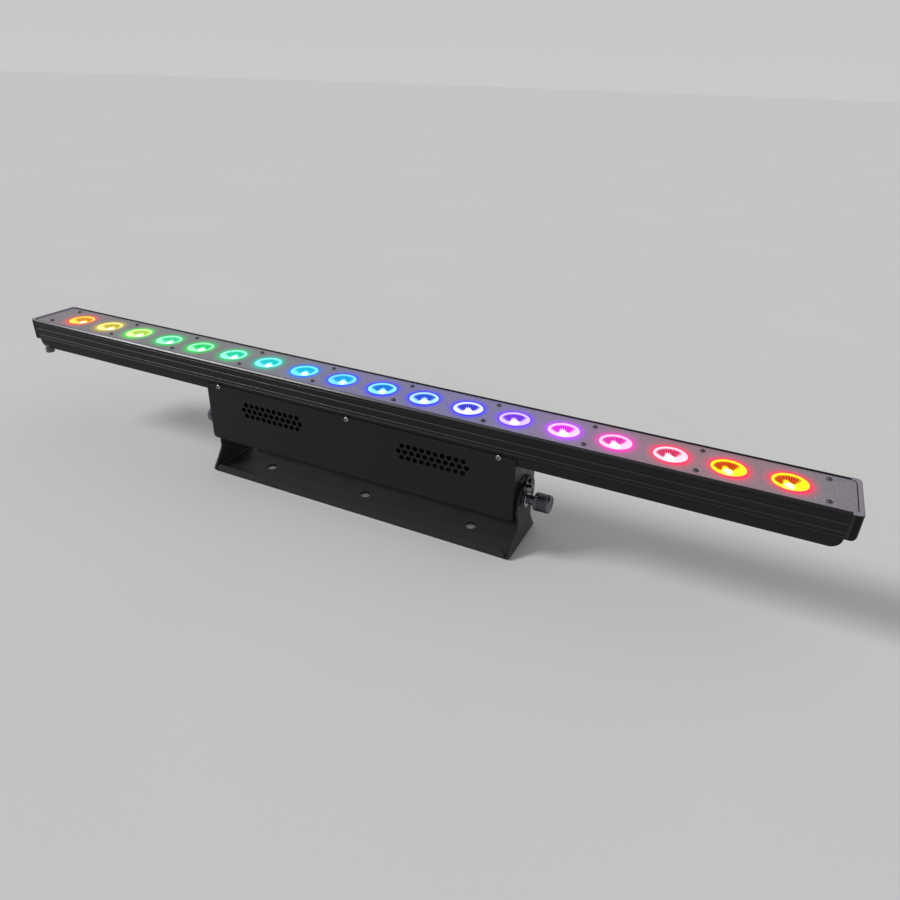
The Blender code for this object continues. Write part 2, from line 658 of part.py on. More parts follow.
def make_data_sockets(finishes, head):
    """Round three-pole sockets: pins in an open shell, and a solid face with a latch tab."""
    back = SOCKET_BACK
    rim = PANEL_FACE + 0.0012

    def flange(shape, x):
        outline = [(px + x, pz + CONNECTOR_Z) for px, pz in rounded_outline(0.0130, 0.0155, 0.002, 2)]
        add_prism(shape, outline, "Y", PANEL_BACK, PANEL_FACE)

    bore = 0.0088
    shell = [(back, 0), (back, DATA_SHELL), (rim, DATA_SHELL), (rim, bore), (back + 0.0030, bore),
             (back + 0.0030, 0)]
    male = turned("dmx_in_socket", shell, "Y", (DMX_IN_X, CONNECTOR_Z), 20, finish=finishes["plastic"],
                  origin=head.location, parent=head)

    def male_flange(shape):
        flange(shape, DMX_IN_X)

    join(male, "dmx_in_flange", male_flange)
    cut(male, "dmx_in_bore", lambda shape: add_turned(
        shape, closed_pin(back + 0.0030, rim + CUT, bore), "Y", (DMX_IN_X, CONNECTOR_Z), 20))

    def pins(shape):
        for turn in (30, 150, 270):
            centre = arc((DMX_IN_X, CONNECTOR_Z), DATA_PIN_CIRCLE, turn, turn, 1)[0]
            add_turned(shape, closed_pin(back + 0.0020, rim - 0.0060, 0.0012), "Y", centre, 8)

    join(male, "dmx_in_pins", pins)

    face = PANEL_FACE - 0.0006
    core, core_gap = 0.0080, 0.0098
    solid = [(back, 0), (back, DATA_SHELL), (rim, DATA_SHELL), (rim, core_gap), (face - 0.0080, core_gap),
             (face - 0.0080, core), (face, core), (face, 0)]
    female = turned("dmx_out_socket", solid, "Y", (DMX_OUT_X, CONNECTOR_Z), 20, finish=finishes["plastic"],
                    origin=head.location, parent=head)
    join(female, "dmx_out_flange", lambda shape: flange(shape, DMX_OUT_X))
    # the flange fills the ring gap where it crosses it, so the gap is cut again
    cut(female, "dmx_out_gap", lambda shape: add_turned(
        shape, ring(face - 0.0080, rim + CUT, core, core_gap), "Y", (DMX_OUT_X, CONNECTOR_Z), 20))
    cut(female, "dmx_out_recess", lambda shape: add_turned(
        shape, closed_pin(face, rim + CUT, 0.0090), "Y", (DMX_OUT_X, CONNECTOR_Z), 20))

    def pin_holes(shape):
        for turn in (90, 210, 330):
            centre = arc((DMX_OUT_X, CONNECTOR_Z), DATA_PIN_CIRCLE, turn, turn, 1)[0]
            add_turned(shape, closed_pin(face - 0.0120, rim + CUT, 0.0013), "Y", centre, 8)
        add_block(shape, (DMX_OUT_X - 0.0028, back - CUT, LATCH_Z - 0.0024),
                  (DMX_OUT_X + 0.0028, rim + CUT, LATCH_Z + 0.0020))

    cut(female, "dmx_out_holes", pin_holes)
    block("dmx_latch", (DMX_OUT_X - 0.0024, PANEL_BACK - 0.0060, LATCH_Z - 0.0020),
          (DMX_OUT_X + 0.0024, PANEL_FACE + 0.0016, LATCH_Z + 0.0016),
          finish=finishes["steel"], origin=(DMX_OUT_X, PANEL_FACE, LATCH_Z), parent=head)


def make_power_sockets(finishes, head):
    """Mains inlet with three blades in a recess, mains outlet with three slots, and a fuse holder."""
    back = SOCKET_BACK

    def body(name, x):
        low = (x - 0.0140, back, CONNECTOR_Z - 0.0100)
        high = (x + 0.0140, PANEL_FACE - 0.0005, CONNECTOR_Z + 0.0100)
        made = block(name, low, high, finish=finishes["plastic"], origin=head.location, parent=head)
        outline = [(px + x, pz + CONNECTOR_Z) for px, pz in rounded_outline(0.0185, 0.0125, 0.003, 3)]
        join(made, name + "_flange", lambda shape: add_prism(shape, outline, "Y", PANEL_BACK, PANEL_FACE))
        return made

    inlet = body("power_inlet", INLET_X)
    cut(inlet, "inlet_recess", lambda shape: add_block(
        shape, (INLET_X - 0.0122, back + 0.0030, CONNECTOR_Z - 0.0082),
        (INLET_X + 0.0122, PANEL_FACE + CUT, CONNECTOR_Z + 0.0082)))

    def blades(shape):
        for dx, dz in CONTACTS:
            add_block(shape, (INLET_X + dx - 0.0010, back + 0.0020, CONNECTOR_Z + dz - 0.0020),
                      (INLET_X + dx + 0.0010, PANEL_FACE - 0.0070, CONNECTOR_Z + dz + 0.0020))

    join(inlet, "inlet_blades", blades)
    outlet = body("power_outlet", OUTLET_X)

    def slots(shape):
        for dx, dz in CONTACTS:
            add_block(shape, (OUTLET_X + dx - 0.0013, PANEL_FACE - 0.0150, CONNECTOR_Z + dz - 0.0024),
                      (OUTLET_X + dx + 0.0013, PANEL_FACE + CUT, CONNECTOR_Z + dz + 0.0024))

    cut(outlet, "outlet_slots", slots)
    holder = [(0.0100, 0.0042), (0.0100, 0.0060), (PANEL_BACK, 0.0060), (PANEL_BACK, 0.0080),
              (PANEL_BACK + 0.0010, 0.0080), (PANEL_BACK + 0.0010, 0.0042), (0.0100, 0.0042)]
    turned("fuse_holder", holder, "Y", (FUSE_X, CONNECTOR_Z), 18, finish=finishes["plastic"],
           origin=head.location, parent=head)
    face = PANEL_BACK + 0.0010 + GAP
    cap = [(0.0180, 0), (0.0180, 0.0038), (face, 0.0038), (face, 0.0068), (face + 0.0020, 0.0066),
           (face + 0.0026, 0.0058), (face + 0.0026, 0)]
    made = turned("fuse_cap", cap, "Y", (FUSE_X, CONNECTOR_Z), 18, finish=finishes["cap"],
                  origin=(FUSE_X, PANEL_FACE, CONNECTOR_Z), parent=head)
    cut(made, "fuse_cap_slot", lambda shape: add_block(
        shape, (FUSE_X - 0.0090, face + 0.0014, CONNECTOR_Z - 0.0007),
        (FUSE_X + 0.0090, face + CUT, CONNECTOR_Z + 0.0007)))


# ---- pivot hardware ---------------------------------------------------------------------------------

def make_pivot_hardware(name, side, finishes, head):
    """Everything on one side of the tilt axis, from the nut inside the box out to the knob."""
    centre = (0, PIVOT_Z)

    def outward(profile):
        return [(side * along, radius) for along, radius in profile]

    inside = BOX_HALF - BOX_WALL - GAP
    nut_thick, nut_corner = 0.0077, 0.0085
    hexagon = outward(closed_pin(inside - nut_thick, inside, nut_corner))
    nut = turned(f"pivot_nut_{name}", hexagon, "X", centre, 6, finish=finishes["steel"],
                 origin=head.location, parent=head)
    ends = sorted((side * (inside - nut_thick - CUT), side * (inside + CUT)))
    cut(nut, f"nut_bore_{name}", lambda shape: add_turned(
        shape, closed_pin(*ends, STUD_RADIUS + GAP), "X", centre, 20))
    friction = ring(BOX_HALF + GAP, ARM_INSIDE - GAP, STUD_RADIUS + 0.0006, 0.0120)
    turned(f"friction_washer_{name}", outward(friction), "X", centre, 24, finish=finishes["nylon"],
           origin=head.location, parent=head)
    face = ARM_OUTSIDE + GAP
    washer = ring(face, face + WASHER_THICK, STUD_RADIUS + GAP, 0.0095)
    turned(f"knob_washer_{name}", outward(washer), "X", centre, 24, finish=finishes["steel"],
           origin=(side * face, *centre), parent=head)
    neck = face + WASHER_THICK + GAP
    skirt, end = 0.2123, 0.2300
    knob = [(0.1860, 0), (0.1860, 0.0034), (0.1868, STUD_RADIUS), (neck, STUD_RADIUS), (neck, 0.0054),
            (skirt, 0.0054), (skirt, 0.0092), (skirt + 0.0008, 0.0100), (end - 0.0035, 0.0100),
            (end - 0.0010, 0.0090), (end, 0.0076), (end - 0.0008, 0.0066), (end - 0.0008, 0)]
    turned(f"knob_{name}", outward(knob), "X", centre, 24, finish=finishes["dark_metal"],
           origin=(side * neck, *centre), parent=head)
    bolt = [(0.1900, 0), (0.1900, GUIDE_RADIUS), (face, GUIDE_RADIUS), (face, 0.0062),
            (face + 0.0012, 0.0062), (face + 0.0012, 0.0046), (face + 0.0070, 0.0046),
            (face + 0.0078, 0.0038), (face + 0.0078, 0)]
    turned(f"guide_bolt_{name}", outward(bolt), "X", (GUIDE_Y, GUIDE_Z), 20, finish=finishes["steel"],
           origin=head.location, parent=head)


def build():
    for item in list(bpy.data.objects):
        bpy.data.objects.remove(item, do_unlink=True)
    finishes = make_materials()
    head = bpy.data.objects.new("head_tilt_axis", None)
    bpy.context.scene.collection.objects.link(head)
    head.location = (0, 0, PIVOT_Z)

    make_bracket(finishes)
    make_housing(finishes, head)
    make_back_cover(finishes, head)
    make_breather(finishes, head)
    make_end_cap("end_cap_left", -1, finishes, head)
    make_end_cap("end_cap_right", 1, finishes, head)
    make_face_plate(finishes, head)
    make_lens_holder(finishes, head)
    make_boards(finishes, head)
    make_lenses(head)
    make_driver_box(finishes, head)
    make_front_cover(finishes, head)
    make_front_screws(finishes, head)
    make_electronics(finishes, head)
    make_control_panel(finishes, head)
    make_data_sockets(finishes, head)
    make_power_sockets(finishes, head)
    make_pivot_hardware("left", -1, finishes, head)
    make_pivot_hardware("right", 1, finishes, head)


build()
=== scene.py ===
"""Looks of the led strip batten: finished meshes, procedural materials, studio light and camera.

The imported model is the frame.  Every piece here takes its place from the boxes of the CAD nodes and
rides on one of the bodies.  Sizes are in metres: X along the bar, -Y the vented front, +Z up.
"""

import math
import random

import bmesh
import bpy
from mathutils import Matrix, Vector


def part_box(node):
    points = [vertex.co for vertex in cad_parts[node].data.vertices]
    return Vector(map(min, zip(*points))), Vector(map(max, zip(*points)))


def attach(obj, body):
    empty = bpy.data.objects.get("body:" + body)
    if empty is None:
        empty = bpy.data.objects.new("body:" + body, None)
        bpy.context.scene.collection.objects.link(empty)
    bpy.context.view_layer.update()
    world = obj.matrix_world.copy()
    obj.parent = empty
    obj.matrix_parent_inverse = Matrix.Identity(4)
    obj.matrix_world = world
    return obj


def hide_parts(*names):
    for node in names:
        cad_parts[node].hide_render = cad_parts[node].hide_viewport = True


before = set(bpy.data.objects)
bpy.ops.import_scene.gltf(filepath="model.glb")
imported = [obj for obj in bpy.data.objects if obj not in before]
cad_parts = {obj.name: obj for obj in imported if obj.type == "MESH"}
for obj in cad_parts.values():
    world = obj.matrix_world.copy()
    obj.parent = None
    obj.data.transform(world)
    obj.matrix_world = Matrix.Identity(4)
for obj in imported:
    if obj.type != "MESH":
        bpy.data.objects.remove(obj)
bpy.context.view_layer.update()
random.seed(18)


def middle(node):
    low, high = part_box(node)
    return (low + high) / 2


def reach_of(node):
    """How far from the middle of the bar a node starts and ends, whichever side it is on."""
    low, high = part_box(node)
    return sorted((abs(low.x), abs(high.x)))


# ---- places read from the frame ----
LED_COUNT = 18
LENS_NODES = [f"lens_{number:02d}" for number in range(1, LED_COUNT + 1)]
LED_XS = [middle(node).x for node in LENS_NODES]
BUTTONS = [f"menu_button_{number}" for number in range(1, 5)]
LED_PITCH = LED_XS[1] - LED_XS[0]
plate_low, plate_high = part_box("face_plate")
housing_low, housing_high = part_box("bar_housing")
cap_low, cap_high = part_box("end_cap_right")
cover_low, cover_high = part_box("back_cover")
box_low, box_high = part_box("driver_box")
front_low, front_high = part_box("vented_front_cover")
bracket_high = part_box("yoke_bracket")[1]
panel_low, panel_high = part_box("control_panel")
PLATE_TOP = plate_high.z
RIM_TOP = housing_high.z
BAR_SIDE = housing_high.y
BAR_HALF = cap_high.x
HOUSING_BOTTOM = housing_low.z
HOUSING_END = housing_high.x
PIVOT_Z = middle("knob_washer_right").z
GUIDE = middle("guide_bolt_right")
CONNECTOR_Z = middle("power_inlet").z
PANEL_BACK = panel_low.y
PANEL_FACE = panel_high.y

# ---- sizes of the details ----
# clearance between pieces, and how far a cutter reaches past what it cuts
GAP = 0.0003
CUT = 0.004
OPENING_RADIUS = 0.016
FLUTES = 30
RIM_INSIDE = 0.0306
RIM_CHAMFER = 0.0013
# grooves along the side of the bar: upper edge, lower edge (both below the plate's top) and depth
GROOVES = ((0.0080, 0.0105, 0.0008), (0.0160, 0.0190, 0.0008), (0.0214, 0.0226, 0.0011))
PLATE_SCREW_XS = (0.052, 0.156, 0.260, 0.364, 0.473)
PLATE_SCREW_Y = 0.0211
CAP_SCREW_Y = 0.0210
CAP_SCREW_Z = PLATE_TOP - 0.0115
CAP_BORE_DEPTH = 0.0010
CAP_BORE_RADIUS = 0.0032
GRILLE_XS = (-0.105, 0.105)
VENT_ROWS = (10, 11, 10)
VENT_TOP = PLATE_TOP - 0.0452
VENT_PITCH = 0.00807
VENT_RADIUS = 0.0029
BOX_WALL = 0.0015
SHEET = 0.0025
LIP_HALF = 0.1955
LIP_HEIGHT = 0.0095
CLAMP_HOLE_XS = (-0.140, 0.0, 0.140)
# degrees that the curved slot reaches to either side of the guide bolt
SLOT_REACH = 50.5
THREAD_PITCH = 0.00125
KNURLS = 22
KNURL_TWIST = 4.6
BUTTON_HOLE = 0.0039
SKY_HORIZON = 0.59
SKY_OVERHEAD = 0.40


# ---- outlines ----

def arc(centre, radius, start, end, steps):
    """Points on a circle from one angle to another, in degrees, both ends included."""
    angles = [math.radians(start + (end - start) * step / steps) for step in range(steps + 1)]
    return [(centre[0] + radius * math.cos(a), centre[1] + radius * math.sin(a)) for a in angles]


def circle(centre, radius, sides):
    return arc(centre, radius, 0, 360, sides)[:-1]


def on_circle(centre, radius, angle):
    return arc(centre, radius, angle, angle, 1)[0]


def rectangle(low, high):
    return [(low[0], low[1]), (high[0], low[1]), (high[0], high[1]), (low[0], high[1])]


def rounded_outline(half_x, half_y, radius, steps=8, centre=(0, 0)):
    """A rectangle with round corners, anticlockwise."""
    points = []
    for sign_x, sign_y, start in ((1, 1, 0), (-1, 1, 90), (-1, -1, 180), (1, -1, 270)):
        corner = (centre[0] + sign_x * (half_x - radius), centre[1] + sign_y * (half_y - radius))
        points += arc(corner, radius, start, start + 90, steps)
    return points


def mirrored(points):
    """The other half of an outline that is the same on both sides of its first number's 0."""
    return [(-first, second) for first, second in reversed(points)]


def fillet(points, radius, steps=3):
    """Round the corners of a closed outline, by less where its sides are short."""
    rounded = []
    for number, point in enumerate(points):
        corner = Vector(point)
        before = Vector(points[number - 1]) - corner
        after = Vector(points[(number + 1) % len(points)]) - corner
        turn = before.angle(after)
        if turn > math.radians(160):
            rounded.append(tuple(corner))
            continue
        reach = min(radius / math.tan(turn / 2), 0.45 * before.length, 0.45 * after.length)
        start, end = corner + before.normalized() * reach, corner + after.normalized() * reach
        for step in range(steps + 1):
            t = step / steps
            rounded.append(tuple((1 - t) ** 2 * start + 2 * t * (1 - t) * corner + t * t * end))
    return rounded


def offset(points, distance):
    """An anticlockwise outline grown by a distance, or shrunk where it is negative."""
    grown = []
    for number, point in enumerate(points):
        here = Vector(point)
        into = (here - Vector(points[number - 1])).normalized()
        out = (Vector(points[(number + 1) % len(points)]) - here).normalized()
        normal = Vector((into.y + out.y, -into.x - out.x)).normalized()
        stretch = max(0.3, normal.dot(Vector((out.y, -out.x))))
        grown.append(tuple(here + normal * (distance / stretch)))
    return grown


# ---- mesh building ----

def spot(axis, point, along):
    """A point of an outline, placed along X, Y or Z.  Its two numbers are the other two in order."""
    first, second = point
    return {"X": (along, first, second), "Y": (first, along, second), "Z": (first, second, along)}[axis]


def join_rings(shape, lower, upper):
    """Faces between two rings of corners.  A ring of one corner closes an end."""
    count = max(len(lower), len(upper))
    for side in range(count):
        after = (side + 1) % count
        corners = [lower[side % len(lower)], lower[after % len(lower)],
                   upper[after % len(upper)], upper[side % len(upper)]]
        shape.faces.new(list(dict.fromkeys(corners)))


def add_loft(shape, rings):
    """Skin a row of closed rings of points."""
    made = [[shape.verts.new(point) for point in ring] for ring in rings]
    for lower, upper in zip(made, made[1:]):
        join_rings(shape, lower, upper)
    return made


def add_turned(shape, profile, axis, centre, sides=48):
    """Turn (place along the axis, radius) points about an axis; a radius of 0 closes the end."""
    add_loft(shape, [[spot(axis, point, along) for point in
                      ([centre] if radius == 0 else circle(centre, radius, sides))]
                     for along, radius in profile])


def add_pin(shape, low, high, radius, axis, centre, sides=48):
    add_turned(shape, [(low, 0), (low, radius), (high, radius), (high, 0)], axis, centre, sides)


def add_prism(shape, outline, axis, low, high):
    for ring in add_loft(shape, [[spot(axis, point, along) for point in outline] for along in (low, high)]):
        shape.faces.new(ring)


def add_block(shape, low, high):
    add_prism(shape, rectangle(low, high), "Z", low[2], high[2])


def add_pad(shape, x, z, half_x, half_z, back, face):
    """A block by its middle and half sizes as seen from the rear, and its two places in Y."""
    add_block(shape, (x - half_x, back, z - half_z), (x + half_x, face, z + half_z))


def add_sheet(shape, outline, holes, axis, low, high, chamfer):
    """A flat sheet with holes, with a small chamfer round each edge of both faces."""
    levels = ((low, chamfer), (low + chamfer, 0.0), (high - chamfer, 0.0), (high, chamfer))
    faces = {low: [], high: []}
    for number, loop in enumerate([outline] + holes):
        sign = 1 if number else -1
        rings = add_loft(shape, [[spot(axis, point, along) for point in
                                  (offset(loop, sign * inset) if inset else loop)]
                                 for along, inset in levels])
        for along, ring in ((low, rings[0]), (high, rings[-1])):
            faces[along] += [shape.edges.get((ring[side - 1], corner)) for side, corner in enumerate(ring)]
    for edges in faces.values():
        bmesh.ops.triangle_fill(shape, use_beauty=True, edges=edges)


def built(add, *details):
    """A new mesh filled by one of the add_ functions, or by any function that takes a mesh."""
    shape = bmesh.new()
    add(shape, *details)
    return shape


def placed(name, data):
    """A new object of the scene."""
    made = bpy.data.objects.new(name, data)
    bpy.context.scene.collection.objects.link(made)
    return made


def loose_object(name, shape):
    bmesh.ops.remove_doubles(shape, verts=shape.verts, dist=1e-7)
    bmesh.ops.recalc_face_normals(shape, faces=shape.faces)
    mesh = bpy.data.meshes.new(name)
    shape.to_mesh(mesh)
    shape.free()
    return placed(name, mesh)


def carve(shape, cutter, operation="DIFFERENCE"):
    """Cut a mesh with another, or join them with UNION, or keep their overlap with INTERSECT."""
    body, tool = loose_object("carved", shape), loose_object("cutter", cutter)
    step = body.modifiers.new("carve", "BOOLEAN")
    step.operation, step.solver, step.object = operation, "EXACT", tool
    result = bmesh.new()
    result.from_object(body, bpy.context.evaluated_depsgraph_get())
    for done in (body, tool):
        mesh = done.data
        bpy.data.objects.remove(done)
        bpy.data.meshes.remove(mesh)
    return result


def piece(name, shape, finish, node=None, body="head", bevel=0.0, segments=2, place=None):
    """A finished piece: its mesh, finish, the node it stands for, its body and its edge rounding."""
    made = loose_object(name, shape)
    made.data.materials.append(finishes[finish])
    made.data.shade_smooth()
    if bevel:
        rounding = made.modifiers.new("edge_rounding", "BEVEL")
        rounding.width, rounding.segments = bevel, segments
        rounding.limit_method, rounding.angle_limit = "ANGLE", math.radians(32)
        rounding.use_clamp_overlap = False
    else:
        made.data.set_sharp_from_angle(angle=math.radians(50))
    made.modifiers.new("flat_faces", "WEIGHTED_NORMAL").keep_sharp = True
    if place is not None:
        made.location = place
    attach(made, body)
    if node:
        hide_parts(node)


# ---- building blocks of the materials ----

class Value:
    """A number, place or colour that varies over a surface.  Arithmetic on it adds Math nodes."""

    def __init__(self, socket):
        self.socket = socket

    def node(self, kind, inputs, output=0, **settings):
        """One output of a new node in the same tree."""
        return Value(add_node(self.socket.id_data, kind, inputs, **settings).outputs[output])

    def math(self, operation, *others):
        return self.node("ShaderNodeMath", dict(enumerate((self, *others))), operation=operation)

    def __add__(self, other):
        return self.math("ADD", other)

    def __sub__(self, other):
        return self.math("SUBTRACT", other)

    def __mul__(self, other):
        return self.math("MULTIPLY", other)

    def __truediv__(self, other):
        return self.math("DIVIDE", other)

    def spread(self, low, high, to_low=0.0, to_high=1.0):
        """The span from low to high carried over to another span, and held at its ends."""
        return self.node("ShaderNodeMapRange", {"Value": self, "From Min": low, "From Max": high,
                                                "To Min": to_low, "To Max": to_high})

    def parts(self):
        """The x, y and z of a place."""
        split = add_node(self.socket.id_data, "ShaderNodeSeparateXYZ", {"Vector": self})
        return [Value(socket) for socket in split.outputs]


def set_socket(socket, value):
    """Link a Value to a socket, or give the socket a number or a colour that is the same all over."""
    if isinstance(value, Value):
        socket.id_data.links.new(value.socket, socket)
    else:
        socket.default_value = (*value, 1.0) if socket.type == "RGBA" else value


def add_node(tree, kind, inputs, **settings):
    made = tree.nodes.new(kind)
    for key, value in settings.items():
        setattr(made, key, value)
    for socket, value in inputs.items():
        set_socket(made.inputs[socket], value)
    return made


def feed(material, **sockets):
    """Fill the sockets of a material's shader, named with _ for a space."""
    shader = material.node_tree.nodes["Principled BSDF"]
    for name, value in sockets.items():
        set_socket(shader.inputs[name.replace("_", " ")], value)
    return material


def start_material(name, **sockets):
    """A Principled material and the place on the surface that its patterns are drawn from."""
    made = bpy.data.materials.new(name)
    made.use_nodes = True
    where = add_node(made.node_tree, "ShaderNodeTexCoord", {}).outputs["Object"]
    return feed(made, **sockets), Value(where)


def noise(where, scale, detail=2.0, rough=0.5, stretch=None):
    """Noise with a given number of cells a metre, drawn out along an axis by a small stretch."""
    if stretch:
        where = where.node("ShaderNodeMapping", {"Vector": where, "Scale": stretch})
    return where.node("ShaderNodeTexNoise", {"Vector": where, "Scale": scale, "Detail": detail,
                                             "Roughness": rough}, "Fac")


def pointiness(where):
    """Above 0.5 on outward edges, below it in hollows."""
    return where.node("ShaderNodeNewGeometry", {}, "Pointiness")


def blend(factor, first, second):
    """One colour changing to another, by sockets 6 and 7 of the Mix node and its output 2."""
    return factor.node("ShaderNodeMix", {"Factor": factor, 6: first, 7: second}, 2, data_type="RGBA")


def scaled(colour, factor, lift=0.0):
    return tuple(factor * c + lift for c in colour)


def bump(height, distance):
    return height.node("ShaderNodeBump", {"Height": height, "Distance": distance, "Strength": 1.0})


def ramp(value, stops, interpolation="LINEAR"):
    """A colour ramp; its stops are (place, grey level or colour), the first two in order of place."""
    made = add_node(value.socket.id_data, "ShaderNodeValToRGB", {"Fac": value})
    band = made.color_ramp
    band.interpolation = interpolation
    for number, (place, level) in enumerate(stops):
        stop = band.elements[number] if number < 2 else band.elements.new(place)
        stop.position = place
        stop.color = (level,) * 3 + (1,) if isinstance(level, float) else (*level, 1)
    return Value(made.outputs["Color"])


# ---- materials ----

def powder_coat(name, colour, roughness, grain=1500.0, depth=0.00006):
    """Fine-textured powder coat: orange peel, cloudy gloss and a painted highlight on outward edges, broken
    up by noise.
    """
    made, where = start_material(name, Specular_IOR_Level=0.20)
    cloudy = noise(where, 28.0, 3.0)
    # painted highlight: outward edges lightened in patches
    painted_edge_highlight = pointiness(where).spread(0.52, 0.60) * noise(where, 160.0, 3.0) * 0.45
    base = blend(cloudy, scaled(colour, 0.82), scaled(colour, 1.22))
    return feed(made, Base_Color=blend(painted_edge_highlight, base, scaled(colour, 2.6, 0.012)),
                Roughness=cloudy.spread(0.3, 0.7, roughness - 0.05, roughness + 0.06),
                Normal=bump(noise(where, grain, 3.0), depth))


def black_extrusion(name):
    """Satin black aluminium: drawing lines, a painted highlight on the lower edge of each groove, and a
    metallic chamfer along the rim whose colour is a painted highlight that fades towards the right end.
    """
    made, where = start_material(name, Specular_IOR_Level=0.12, Coat_Weight=0.2, Coat_Roughness=0.14)
    x, y, z = where.parts()
    lines = noise(where, 900.0, stretch=(0.004, 1.0, 1.0))
    length = x.spread(-HOUSING_END, HOUSING_END)
    # painted highlight on the lower edge of each groove, stronger towards the left end of the bar
    painted_edge_highlight = ramp(z.spread(HOUSING_BOTTOM, RIM_TOP), groove_highlight_stops())
    painted_edge_highlight *= ramp(length, ((0.0, 1.0), (1.0, 0.30), (0.45, 0.9), (0.75, 0.35)))
    # painted highlight along the rim chamfer: bright near the left end, fading towards the right end
    painted_highlight_fade = ramp(length, ((0.0, 0.45), (1.0, 0.12), (0.14, 1.0), (0.40, 0.90), (0.57, 0.32), (0.72, 0.15)))
    chamfer = BAR_SIDE + RIM_TOP - RIM_CHAMFER
    chamfer_strip = (y.math("ABSOLUTE") + z).spread(chamfer - 0.0003, chamfer - 0.0001)
    base = blend(noise(where, 22.0, 3.0), (0.0060, 0.0060, 0.0072), (0.0105, 0.0105, 0.0125))
    # the colour of the painted groove highlight
    base = blend(painted_edge_highlight, base, (0.115, 0.115, 0.125))
    # the chamfer's colour is a painted highlight, black where it has faded
    base = blend(chamfer_strip, base, blend(painted_highlight_fade, (0.0, 0.0, 0.0), (0.21, 0.205, 0.225)))
    grain = (lines + noise(where, 1700.0)) * chamfer_strip.spread(0.0, 1.0, 1.0, 0.2)
    return feed(made, Base_Color=base, Metallic=chamfer_strip * 0.8,
                Roughness=lines.spread(0.3, 0.7, 0.30, 0.42) + chamfer_strip * 0.16, Normal=bump(grain, 0.00004))


def groove_highlight_stops():
    """Stops of a ramp up the side of the bar: a painted highlight on the lower edge of each groove, none
    between.
    """
    stops = [(0.0, 0.0), (1.0, 0.0)]
    for _, groove_bottom, _ in GROOVES:
        edge = PLATE_TOP - groove_bottom - HOUSING_BOTTOM
        for reach, level in ((-0.0004, 0.0), (-0.0001, 1.0), (0.0002, 1.0), (0.0004, 0.0)):
            stops.append(((edge + reach) / (RIM_TOP - HOUSING_BOTTOM), level))
    return stops


def cast_cap(name):
    """Satin black casting with painted light: a painted reflection makes its top face, beside the plate, as
    pale as the plate, and a painted highlight lightens the band beside the seam.
    """
    made, where = start_material(name, Specular_IOR_Level=0.12)
    x, _, z = where.parts()
    fine, cloudy = noise(where, 1700.0, 3.0), noise(where, 28.0, 3.0)
    past_seam = x.math("ABSOLUTE").spread(HOUSING_END + 0.0022, HOUSING_END + 0.0028)
    base = blend(cloudy, (0.0050, 0.0050, 0.0060), (0.0085, 0.0085, 0.0100))
    # painted highlight on the band of the cap next to the seam
    base = blend(past_seam, (0.026, 0.026, 0.030), base)
    # painted reflection that makes the top face as pale as the plate
    pale = blend(fine, (0.21, 0.190, 0.228), (0.35, 0.325, 0.372))
    return feed(made, Base_Color=blend(z.spread(RIM_TOP - 0.0014, RIM_TOP - 0.0006), base, pale),
                Roughness=cloudy.spread(0.3, 0.7, 0.32, 0.44), Normal=bump(fine, 0.00005))


def metal(name, colour, roughness, stretch=None, dirt=0.25, shaded=0.7):
    """Turned or plated metal: fine scratches, dull patches and painted shade in the hollows."""
    made, where = start_material(name, Metallic=1.0)
    patches = noise(where, 420.0, 3.0)
    base = blend(patches.spread(0.35, 0.75, 0.0, dirt), colour, scaled(colour, 0.6))
    # painted shade: hollows darkened by as much as shaded
    base = blend(pointiness(where).spread(0.50, 0.42, 0.0, shaded), base, scaled(colour, 0.25))
    return feed(made, Base_Color=base,
                Roughness=patches.spread(0.3, 0.7, roughness - 0.06, roughness + 0.12),
                Normal=bump(noise(where, 3000.0, stretch=stretch), 0.00002))


def moulded(name, colour, roughness):
    """Moulded plastic with a fine spark-eroded grain."""
    made, where = start_material(name, IOR=1.5)
    fine = noise(where, 1100.0)
    return feed(made, Base_Color=blend(noise(where, 60.0), scaled(colour, 0.85), scaled(colour, 1.15)),
                Roughness=fine.spread(0.3, 0.7, roughness - 0.05, roughness + 0.08),
                Normal=bump(fine, 0.00003))


def circuit_board(name, mask, track):
    """Solder mask over copper tracks: a grid of lines that shows a little lighter and raised."""
    made, where = start_material(name, Coat_Weight=0.3, Coat_Roughness=0.2)
    tracks = where.node("ShaderNodeTexBrick", {"Vector": where, "Scale": 60.0, "Mortar Size": 0.04}, "Fac")
    speckle = noise(where, 500.0)
    base = blend(speckle.spread(0.3, 0.7, 0.0, 0.25), blend(tracks, mask, track), scaled(mask, 0.7))
    return feed(made, Base_Color=base, Roughness=speckle.spread(0.3, 0.7, 0.35, 0.5),
                Normal=bump(tracks, 0.00005))


def glass_window(name):
    made, where = start_material(name, Coat_Weight=0.6, Coat_Roughness=0.03)
    smear = noise(where, 90.0, 3.0)
    return feed(made, Base_Color=blend(smear, (0.010, 0.010, 0.013), (0.018, 0.018, 0.024)),
                Roughness=smear.spread(0.3, 0.7, 0.04, 0.12))


